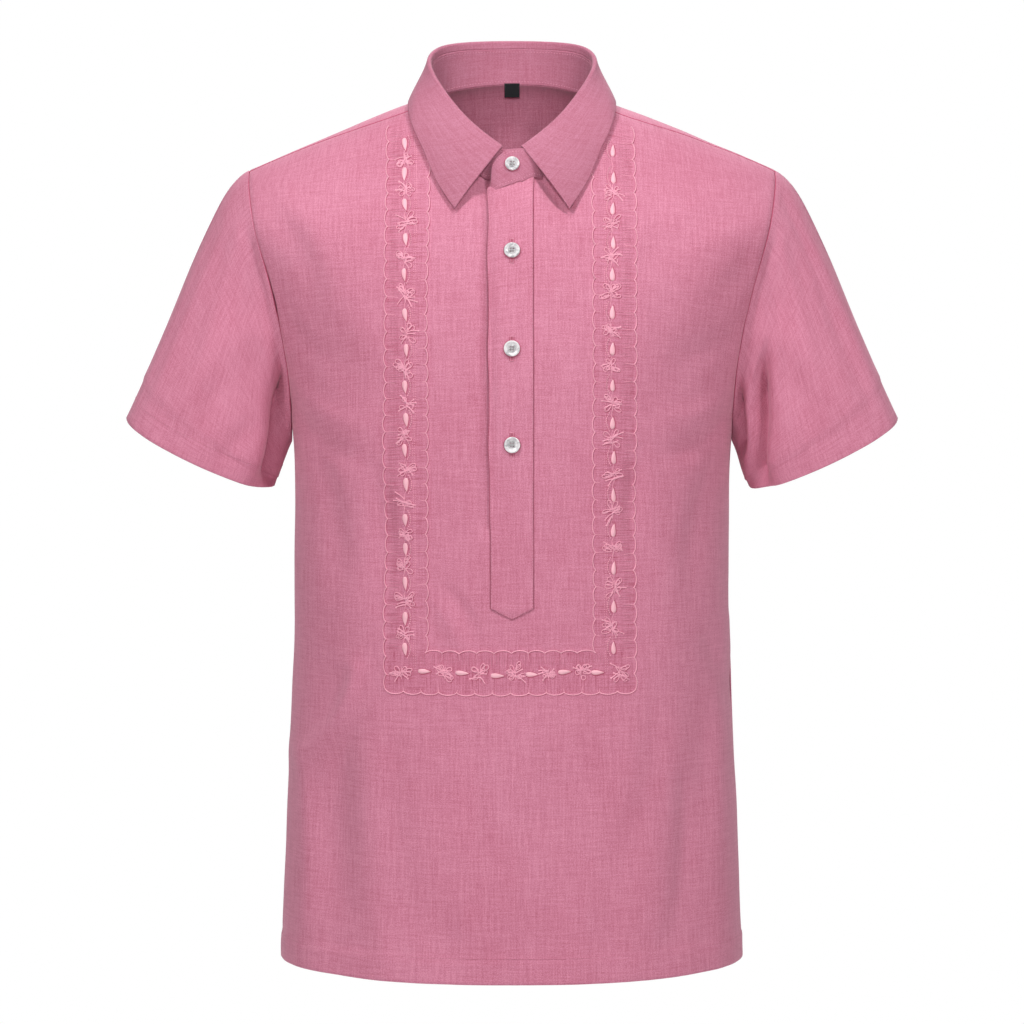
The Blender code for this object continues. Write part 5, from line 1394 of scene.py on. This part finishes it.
def band_edge(rng, start, end, out):
    """The scalloped edge of a band from start to end, out being the way the scallops bulge."""
    start, end, out = (np.asarray(value, float) for value in (start, end, out))
    length = np.linalg.norm(end - start)
    count = int(round(length / SCALLOP_PITCH))
    share, knots = np.linspace(0, 1, count * SCALLOP_STEPS + 1), np.linspace(0, 1, count + 1)
    swing = SCALLOP_DEPTH * np.abs(np.sin(np.pi * share * count)) ** 0.6
    drift = np.interp(share, knots, wander(rng, count + 1, 0.35 * MM))
    stray = np.interp(share, knots, wander(rng, count + 1, 0.8 * MM) * np.r_[0, np.ones(count - 1), 0])
    line = start + share[:, None] * (end - start) + (swing + drift)[:, None] * out
    return line + stray[:, None] * (end - start) / length


def cord_line(batch, edge):
    """The raised chain of thread that edges a band; gives the valleys between the scallops."""
    reach = chord_lengths(edge)
    even = np.linspace(0, reach[-1], int(reach[-1] / (0.55 * MM)))
    places = read_line(even, reach, edge)
    twisted = EDGE_THREAD * (1 + 0.2 * np.cos(2 * np.pi * even / (1.7 * MM)))
    batch.add_tube(*on_front(places, 0.3 * MM), twisted, 6)
    # A dark thread beside the chain: painted shadow
    painted_shadow_line(batch, places + PAINTED_SHADOW_ASIDE)
    return edge[::SCALLOP_STEPS]


def ticks(batch, valleys, inward, rng, low, high):
    """Short threads that run inward from a band's valleys."""
    inward = np.asarray(inward, float)
    beside = np.array((-inward[1], inward[0]))
    for valley in valleys[1:-1]:
        if rng.random() < 0.15:
            continue
        share = np.linspace(0, 1, 7)[:, None]
        length = rng.uniform(low, high) * MM
        bend = rng.uniform(-1.2, 1.2) * MM
        places = valley + inward * length * share + beside * bend * share**2
        batch.add_tube(*on_front(places, 0.05 * MM), 0.24 * MM * (1 - 0.5 * share[:, 0]), 4)


def rungs(batch, rng, start, end, inward, low, high):
    """The drawn threads that cross a band's outer half like a ladder's rungs."""
    start, end, inward = (np.asarray(value, float) for value in (start, end, inward))
    length = np.linalg.norm(end - start)
    way = (end - start) / length
    share = np.linspace(0, 1, 6)
    for reach in np.arange(2.5 * MM, length - 2 * MM, 2.2 * MM):
        if rng.random() < 0.2:
            continue
        foot = start + way * (reach + rng.uniform(-0.3, 0.3) * MM)
        first, last = rng.uniform(0.5, 2.5) * MM, rng.uniform(low, high) * MM
        bow = 0.25 * MM * np.sin(share * np.pi * rng.uniform(0.5, 1.6))
        places = foot + inward * (first + (last - first) * share)[:, None] + way * bow[:, None]
        thick = 0.19 * MM * np.array((0.4, 1, 1, 1, 1, 0.4))
        batch.add_tube(*on_front(places, -0.02 * MM), thick, 4, IN_DRAWN_THREAD)


def drops_and_flowers(batch, rng, side, drops):
    """An upright band's satin drops, each with its arc of dots, and the sprigs between them."""
    facing, curl = (0.0, 1) if side < 0 else (np.pi, -1)
    previous = None
    for x, z in np.array(drops) * MM:
        angle = rng.uniform(-0.08, 0.08) + facing
        bend = rng.uniform(1.0, 2.6) * MM * curl
        drop(batch, (x, z), angle, rng.uniform(11.0, 12.6) * MM, rng.uniform(2.2, 2.6) * MM, bend)
        if previous is not None:
            gap = abs(previous[1] - z)
            spot = np.array((x + rng.uniform(-1, 1) * MM, 0.5 * (z + previous[1])))
            if gap > 24 * MM:
                flower(batch, rng, spot, min(1.3, gap / (26 * MM)))
            share = np.linspace(0.14, 0.86, 24)
            link = read_line(share, (0, 0.5, 1), (previous, spot, (x, z)))
            link[:, 0] += 0.8 * MM * np.sin(share * 14)
            batch.add_tube(*on_front(link, 0.06 * MM), 0.2 * MM, 4)
        chain = np.linspace(-1, 1, 26)
        arc = np.stack((x - side * (5.0 - 3.0 * chain**2) * MM, z + 1 * MM + 8.5 * MM * chain), axis=-1)
        batch.add_stitches(*on_front(arc, 0.15 * MM), pitch=1.8 * MM, length=1.5 * MM, radius=0.5 * MM)
        previous = np.array((x, z))


def make_embroidery():
    """The three bands of the embroidered U, each with its own threads."""
    low, high = BAND_BOTTOM_Z - BAND_HALF, BAND_BOTTOM_Z + BAND_HALF
    for name, side, drops in (("embroidery_right", -1, DROPS_RIGHT), ("embroidery_left", 1, DROPS_LEFT)):
        rng, batch = np.random.default_rng(31 + side), Batch()
        middle = BAND_CENTRE_X + side * BAND_OFFSET_X
        outer_x, inner_x = middle + side * BAND_HALF, middle - side * BAND_HALF
        outer = band_edge(rng, (outer_x, low), (outer_x, BAND_TOP_Z - 6 * MM), (side, 0))
        inner = band_edge(rng, (inner_x, high), (inner_x, BAND_TOP_Z + 6 * MM), (-side, 0))
        outer_valleys, inner_valleys = cord_line(batch, outer), cord_line(batch, inner)
        ticks(batch, outer_valleys, (-side, 0), rng, 6, 11)
        ticks(batch, inner_valleys, (side, 0), rng, 2, 8)
        rungs(batch, rng, (outer_x, high), (outer_x, BAND_TOP_Z - 8 * MM), (-side, 0), 9, 13)
        dots_z = np.arange(BAND_TOP_Z - 10 * MM, BAND_BOTTOM_Z, -0.8 * MM)
        for aside in (-6.6, -8.1):
            dots = np.stack((middle + side * aside * MM + 0.5 * MM * np.sin(dots_z / 0.021), dots_z), axis=-1)
            batch.add_stitches(*on_front(dots, 0.02 * MM), pitch=2.1 * MM, length=1.1 * MM, radius=0.2 * MM)
        drops_and_flowers(batch, rng, side, drops)
        batch.piece("threads_" + name, THREADS, "embroidery", [name])
    rng, batch = np.random.default_rng(33), Batch()
    left_x, right_x = BAND_CENTRE_X - BAND_OFFSET_X, BAND_CENTRE_X + BAND_OFFSET_X
    outer = band_edge(rng, (left_x - BAND_HALF, low), (right_x + BAND_HALF, low), (0, -1))
    ticks(batch, cord_line(batch, outer), (0, 1), rng, 2, 6)
    inner = band_edge(rng, (left_x + BAND_HALF, high), (right_x - BAND_HALF, high), (0, 1))
    ticks(batch, cord_line(batch, inner), (0, -1), rng, 4, 9)
    rungs(batch, rng, (left_x, high), (right_x, high), (0, -1), 8, 12)
    for x, z in np.array(DROPS_BOTTOM) * MM:
        drop(batch, (x, z), 0.5 * np.pi + rng.uniform(-0.08, 0.08), rng.uniform(11, 12.6) * MM, 2.3 * MM, 0.0)
    for x, z in np.array(FLOWERS_BOTTOM) * MM:
        flower(batch, rng, (x, z), 1.15)
    batch.piece("threads_embroidery_bottom", THREADS, "embroidery", ["embroidery_bottom"])


# ---------------------------------------------------------------- buttons and label


def circle(count):
    """Unit places (x, y) evenly round a circle."""
    turn = np.linspace(0, 2 * np.pi, count + 1)[:-1]
    return np.stack((np.cos(turn), np.sin(turn)), axis=-1)


def make_pearl_button(name, centre, normal, radius, node):
    """A turned pearl button with a dished face, four sewn holes and its thread."""
    normal = unit(normal)
    side = unit(np.cross(normal, (0, 0, 1.0)))
    axes = np.stack((side, np.cross(side, normal), normal))
    batch = Batch()
    dish = 0.54 * radius
    under_flat = (dish - 0.05 * MM) / radius
    profile = np.array((
        (0.0, 0.0), (0.6, 0.0), (0.93, 0.2), (0.99, 0.36), (1.0, 0.55), (0.985, 0.78), (0.94, 0.93),
        (0.87, 1.0), (0.79, 0.98), (0.7, 0.87), (0.62, 0.7), (0.57, 0.63), (under_flat, 0.62),
    )) * (radius, BUTTON_THICK)
    # The turned form: underside, rounded edge, rim and the slope down to the flat
    ring = circle(56)
    high = np.broadcast_to(profile[:, None, 1:], (len(profile), 56, 1))
    lathe = np.concatenate((profile[:, None, :1] * ring, high), axis=-1)
    over, along = np.broadcast_arrays(np.linspace(0, 2 * np.pi, 57) * radius, profile.sum(axis=1)[:, None])
    batch.add_grid(centre + lathe @ axes, np.stack((over, along), axis=-1))
    # The line of shade round its foot
    foot = centre + (radius * np.concatenate((ring, ring[:2]))) @ axes[:2] + normal * 0.5 * MM
    batch.add_tube(foot, np.broadcast_to(normal, foot.shape), 0.5 * MM, 5, 3)
    # The flat in four quarters, each with its hole: the quarter's bounds, the hole's two rings and its floor
    hole = BUTTON_HOLE_REACH / math.sqrt(2)
    ways = circle(32)
    to_axes = np.where(ways < -1e-9, -hole / np.minimum(ways, -1e-9), 9.0).min(-1)
    out = ways.sum(-1) * hole
    reach = np.minimum(to_axes, np.sqrt(np.maximum(out**2 - 2 * hole**2 + dish**2, 0)) - out)
    bore = BUTTON_HOLE_RADIUS
    levels = ((reach, 0.62), (1.25 * bore, 0.62), (bore, 0.58), (0.95 * bore, 0.2))
    for flip_x in (1, -1):
        for flip_y in (1, -1):
            rows = []
            for far, high in levels:
                flat = (hole + ways * np.broadcast_to(far, 32)[:, None]) * (flip_x, flip_y)
                rows.append(np.column_stack((flat, np.full(32, high * BUTTON_THICK))))
            points = centre + np.array(rows) @ axes
            # The flat takes the darker pearl and the hole's floor the dark thread: painted shade
            batch.add_grid(points[:3], np.zeros((3, 33, 2)), 2, flip=flip_x * flip_y > 0)
            batch.add_grid(points[2:], np.zeros((2, 33, 2)), 3, flip=flip_x * flip_y > 0)
    # Two bars of thread, three strands in each, from hole to hole
    share = np.linspace(-1, 1, 15)
    arch = 0.58 + 0.2 * np.sin(np.pi * (share + 1) / 2) ** 0.5 - 0.3 * (np.abs(share) > 0.95)
    for column in (-1, 1):
        for offset in (-0.35, 0.0, 0.35):
            x = column * 0.8 * hole + offset * MM
            path = np.stack((x + 0 * share, share * hole * 1.05, BUTTON_THICK * arch), axis=-1)
            batch.add_tube(centre + path @ axes, np.broadcast_to(normal, (15, 3)), 0.18 * MM, 5, 1)
    batch.piece(name, [PEARL, GREY_THREAD, PEARL_PAINTED_SHADE, PAINTED_SHADE_THREAD], "button_pearl", [node])


def make_buttonhole(batch, place, lift):
    """An upright buttonhole: two bars of satin stitch with a slit between and a bar at each end; the slit and
    a line outside each bar are dark thread, painted shade.
    """
    z = np.linspace(-BUTTONHOLE_HALF, BUTTONHOLE_HALF, 60)
    ribbed = 1 + 0.12 * np.cos(z / (0.13 * MM))
    bars = ((-0.95, 0.5, 0), (0.95, 0.5, 0), (0.0, 0.42, 1), (-1.75, 0.34, 1), (1.75, 0.34, 1))
    for aside, radius, kind in bars:
        places = place + np.stack((np.full_like(z, aside * MM), z), axis=-1)
        batch.add_tube(*on_front(places, lift - 0.25 * MM * kind), radius * MM * ribbed, 5, kind)
    for end in (-BUTTONHOLE_HALF, BUTTONHOLE_HALF):
        bar = place + np.linspace((-1.6 * MM, end), (1.6 * MM, end), 9)
        batch.add_tube(*on_front(bar, lift - 0.2 * MM), 0.5 * MM, 5)


def make_fastenings(stand_points, stand_normals):
    """Buttons over their buttonholes down the placket, and the collar's own button."""
    holes = Batch()
    for key, z in PLACKET_BUTTONS_Z.items():
        place = np.array((0.0, z))
        point, normal = on_front(place, PLACKET_FACE + LAYER_GAP)
        make_pearl_button("pearl_" + key, point, normal, BUTTON_RADIUS, "button_" + key)
        make_buttonhole(holes, place, PLACKET_FACE + 0.12 * MM)
    holes.piece("buttonholes", [THREAD, PAINTED_SHADE_THREAD], "collar_cloth")
    column = -STAND_END_SPANS + 1
    lower, upper = stand_points[0, column], stand_points[-1, column]
    middle = lower + (upper - lower) * (COLLAR_BUTTON_Z - lower[2]) / (upper[2] - lower[2])
    middle[0] = 0.0
    normal = stand_normals[STAND_ROWS // 2, column]
    seat = middle + normal * (STAND_CLOTH / 2 + LAYER_GAP)
    make_pearl_button("pearl_collar", seat, normal, COLLAR_BUTTON_RADIUS, "button_collar")


def make_label(stand_points):
    """The black label inside the back of the neck, bare, sewn down at its upper edge."""
    width, height = LABEL_SIZE
    column = stand_points.shape[1] // 2
    seam, above = stand_points[0, column], stand_points[STAND_ROWS // 3, column]
    x = np.linspace(-width / 2, width / 2, 25)
    top = seam[2] + LABEL_TUCK
    lean = (above[1] - seam[1]) / (above[2] - seam[2]) * LABEL_TUCK
    y = seam[1] + lean - (STAND_CLOTH + LABEL_CLOTH) / 2 - 2 * LAYER_GAP
    share = np.linspace(0, 1, 23)[:, None]
    curl = 0.25 * MM * np.sin(share * 2.6) + 0.35 * MM * (1 - share) ** 2 * (2 * x / width) ** 2
    points = np.stack(np.broadcast_arrays(x, y - curl, top - height * (1 - share)), axis=-1)
    normals = grid_normals(points)
    normals *= np.sign(normals[..., 1:2])
    dress("neck_label", points, normals, LABEL_CLOTH, grid_grain(points))
    batch = Batch()
    stitch = {"pitch": 1.9 * MM, "length": 1.4 * MM, "radius": 0.14 * MM}
    for end, column in ((-1, 0), (1, -1)):
        path = points[12:21, column] + np.array((-end * 0.9 * MM, -LABEL_CLOTH / 2, 0))
        batch.add_stitches(path, -normals[12:21, 0], **stitch)
    batch.add_stitches(points[-3] + np.array((0, -LABEL_CLOTH / 2, 0)), -normals[-3], **stitch)
    batch.piece("label_stitches", [DARK_THREAD], "label_satin")


# ---------------------------------------------------------------- sewing


def edge_line(name, last, depth, thickness=CLOTH, outside=1.0, column=False):
    """A line on a piece's face at a depth in from its first or last row, or column, with its normals."""
    points, normals = (grid if column else np.swapaxes(grid, 0, 1) for grid in SURFACES[name])
    if last:
        points, normals = points[:, ::-1], normals[:, ::-1]
    reaches = [chord_lengths(run) for run in points]
    both = [[read_line(depth, *pair) for pair in zip(reaches, grid)] for grid in (points, normals)]
    line, ups = np.array(both)
    ups = unit(ups) * outside
    return line + ups * thickness / 2, ups


def make_stitches():
    """Rows of sewing on hems, seams, placket and collar, and dark threads of painted shadow along the seams
    and under the placket's edges.
    """
    hems = Batch()
    for along in (HEM_DEPTH, BODY_END - HEM_DEPTH):
        hems.add_stitches(*on_body(np.linspace(-1, 1, 500), along, CLOTH / 2))
    hems.piece("hem_stitches", [DRAWN_THREAD], "cloth")
    cuffs = Batch()
    for name in ("sleeve_left", "sleeve_right"):
        cuffs.add_stitches(*(np.vstack((value, value[:1])) for value in edge_line(name, True, CUFF_HEM)))
    cuffs.piece("cuff_stitches", [DRAWN_THREAD], "cloth")
    seams = Batch()
    for line, inward in ((YOKE_SEAM, 1), (mirrored(YOKE_SEAM), 1), (YOKE_BACK_SEAM, -1)):
        seams.add_stitches(*on_body(line[:, 0], line[:, 1] + inward * SEAM_STITCH, CLOTH / 2))
    # Dark threads along the yoke seams, round the armholes and up the side seams: painted seam shadow
    for side, name in ((1, "sleeve_left"), (-1, "sleeve_right")):
        seams.add_tube(*on_body(YOKE_SEAM[:, 0] * side, YOKE_SEAM[:, 1], YOKE_LINE_RISE), 0.5 * MM, 6, 1)
        ring, ups = (np.vstack((value[0], value[:1, 0])) for value in SURFACES[name])
        seams.add_tube(ring + ups * SEAM_LINE_RISE, ups, 0.4 * MM, 6, 1)
        runs = np.linspace(0, ARMPIT[1], 240)
        seams.add_tube(*on_body(side + 0 * runs, runs, SEAM_LINE_RISE), 0.5 * MM, 6, 1)
    seams.piece("seam_stitches_and_painted_shadow", [THREAD, PAINTED_SHADE_THREAD], "cloth")
    trim = Batch()
    for last in (False, True):
        trim.add_stitches(*edge_line("placket_over", last, 0.9 * MM, column=True))
    trim.add_stitches(*(value[3:-3] for value in edge_line("placket_over", False, 0.9 * MM)))
    end = PLACKET_HALF - 2 * MM
    lap = np.linspace((-end, PLACKET_LAP_END_Z), (end, PLACKET_LAP_END_Z), 40)
    trim.add_stitches(*on_front(lap, PLACKET_FACE))
    # Dark threads under both long edges of the placket: painted shadow
    for last, aside in ((False, -0.15 * MM), (True, 0.15 * MM)):
        line, ups = edge_line("placket_over", last, 0.0, 0.0, column=True)
        trim.add_tube(line + np.array((aside, 0, 0)) - ups * 0.7 * MM, ups, 0.2 * MM, 5, 1)
    trim.piece("placket_stitches_and_painted_shadow", [THREAD, PAINTED_SHADE_THREAD], "collar_cloth")
    collar = Batch()
    for outside in (1.0, -1.0):
        for last, depth in ((False, 3.0 * MM), (True, 2.5 * MM)):
            collar.add_stitches(*edge_line("collar_stand", last, depth, STAND_CLOTH, outside))
    collar.piece("collar_stitches", [THREAD], "collar_cloth")


# ---------------------------------------------------------------- sheets and studio


def place_in_scene(name, data, location):
    """A new object in the scene at its place."""
    made = bpy.data.objects.new(name, data)
    bpy.context.scene.collection.objects.link(made)
    made.location = location
    return made


def add_lamp(name, kind, location, target, power):
    """A lamp at its place, pointed at the target; gives its data."""
    data = bpy.data.lights.new(name, kind)
    data.energy = power
    lamp = place_in_scene(name, data, location)
    lamp.rotation_euler = (Vector(target) - Vector(location)).to_track_quat("-Z", "Y").to_euler()
    return data


def white_in_view(tree, lit, white, output):
    """One shader for the light that falls on the shirt and another, pure white, for the backdrop in view."""
    seen = add_node(tree, "LightPath", {}).outputs["Is Camera Ray"]
    mixed = add_node(tree, "MixShader", {0: seen, 1: lit, 2: white}).outputs[0]
    fill(tree, tree.nodes[output].inputs, {"Surface": mixed})


def studio():
    """A plain pale floor well below the hung shirt, soft light from high in front, and the camera."""
    mesh = bpy.data.meshes.new("floor")
    corners = [(x * FLOOR_REACH, y * FLOOR_REACH, FLOOR_Z) for x, y in ((-1, -1), (1, -1), (1, 1), (-1, 1))]
    mesh.from_pydata(corners, [], [(0, 1, 2, 3)])
    floor = place_in_scene("floor", mesh, (0, 0, 0))
    pale = bpy.data.materials.new("pale_floor")
    pale.use_nodes = True
    shader = pale.node_tree.nodes["Principled BSDF"]
    fill(pale.node_tree, shader.inputs, {"Base Color": (0.9, 0.9, 0.9, 1), "Roughness": 0.9})
    white = add_node(pale.node_tree, "Emission", {}).outputs[0]
    white_in_view(pale.node_tree, shader.outputs[0], white, "Material Output")
    mesh.materials.append(pale)
    world = bpy.data.worlds.new("studio")
    bpy.context.scene.world = world
    world.use_nodes = True
    lit = world.node_tree.nodes["Background"]
    fill(world.node_tree, lit.inputs, {"Color": WORLD_TINT, "Strength": WORLD_LIGHT})
    white = add_node(world.node_tree, "Background", {"Color": (1, 1, 1, 1), "Strength": 1.0}).outputs[0]
    white_in_view(world.node_tree, lit.outputs[0], white, "World Output")
    for name, (location, target, size, power) in LAMPS.items():
        data = add_lamp(name, "AREA", location, target, power)
        data.shape = "DISK"
        data.size = size
    location, target, size, power = NECK_LAMP
    data = add_lamp("neck", "SPOT", location, target, power)
    data.spot_size = NECK_LAMP_BEAM
    data.spot_blend = 0.6
    data.shadow_soft_size = size
    data = bpy.data.cameras.new("camera")
    data.sensor_width = 36
    data.lens = CAMERA_LENS
    camera = place_in_scene("camera", data, CAMERA_PLACE)
    camera.rotation_euler = (math.radians(90) - CAMERA_PITCH, 0, 0)
    bpy.context.scene.camera = camera
    bpy.context.scene.view_settings.view_transform = "Standard"


# ---------------------------------------------------------------- main

make_front()
make_back()
make_yoke()
make_sleeves()
stand_points, stand_normals = make_stand()
make_leaf()
make_over_placket()
make_under_placket()
make_embroidery()
make_fastenings(stand_points, stand_normals)
make_label(stand_points)
make_stitches()
studio()
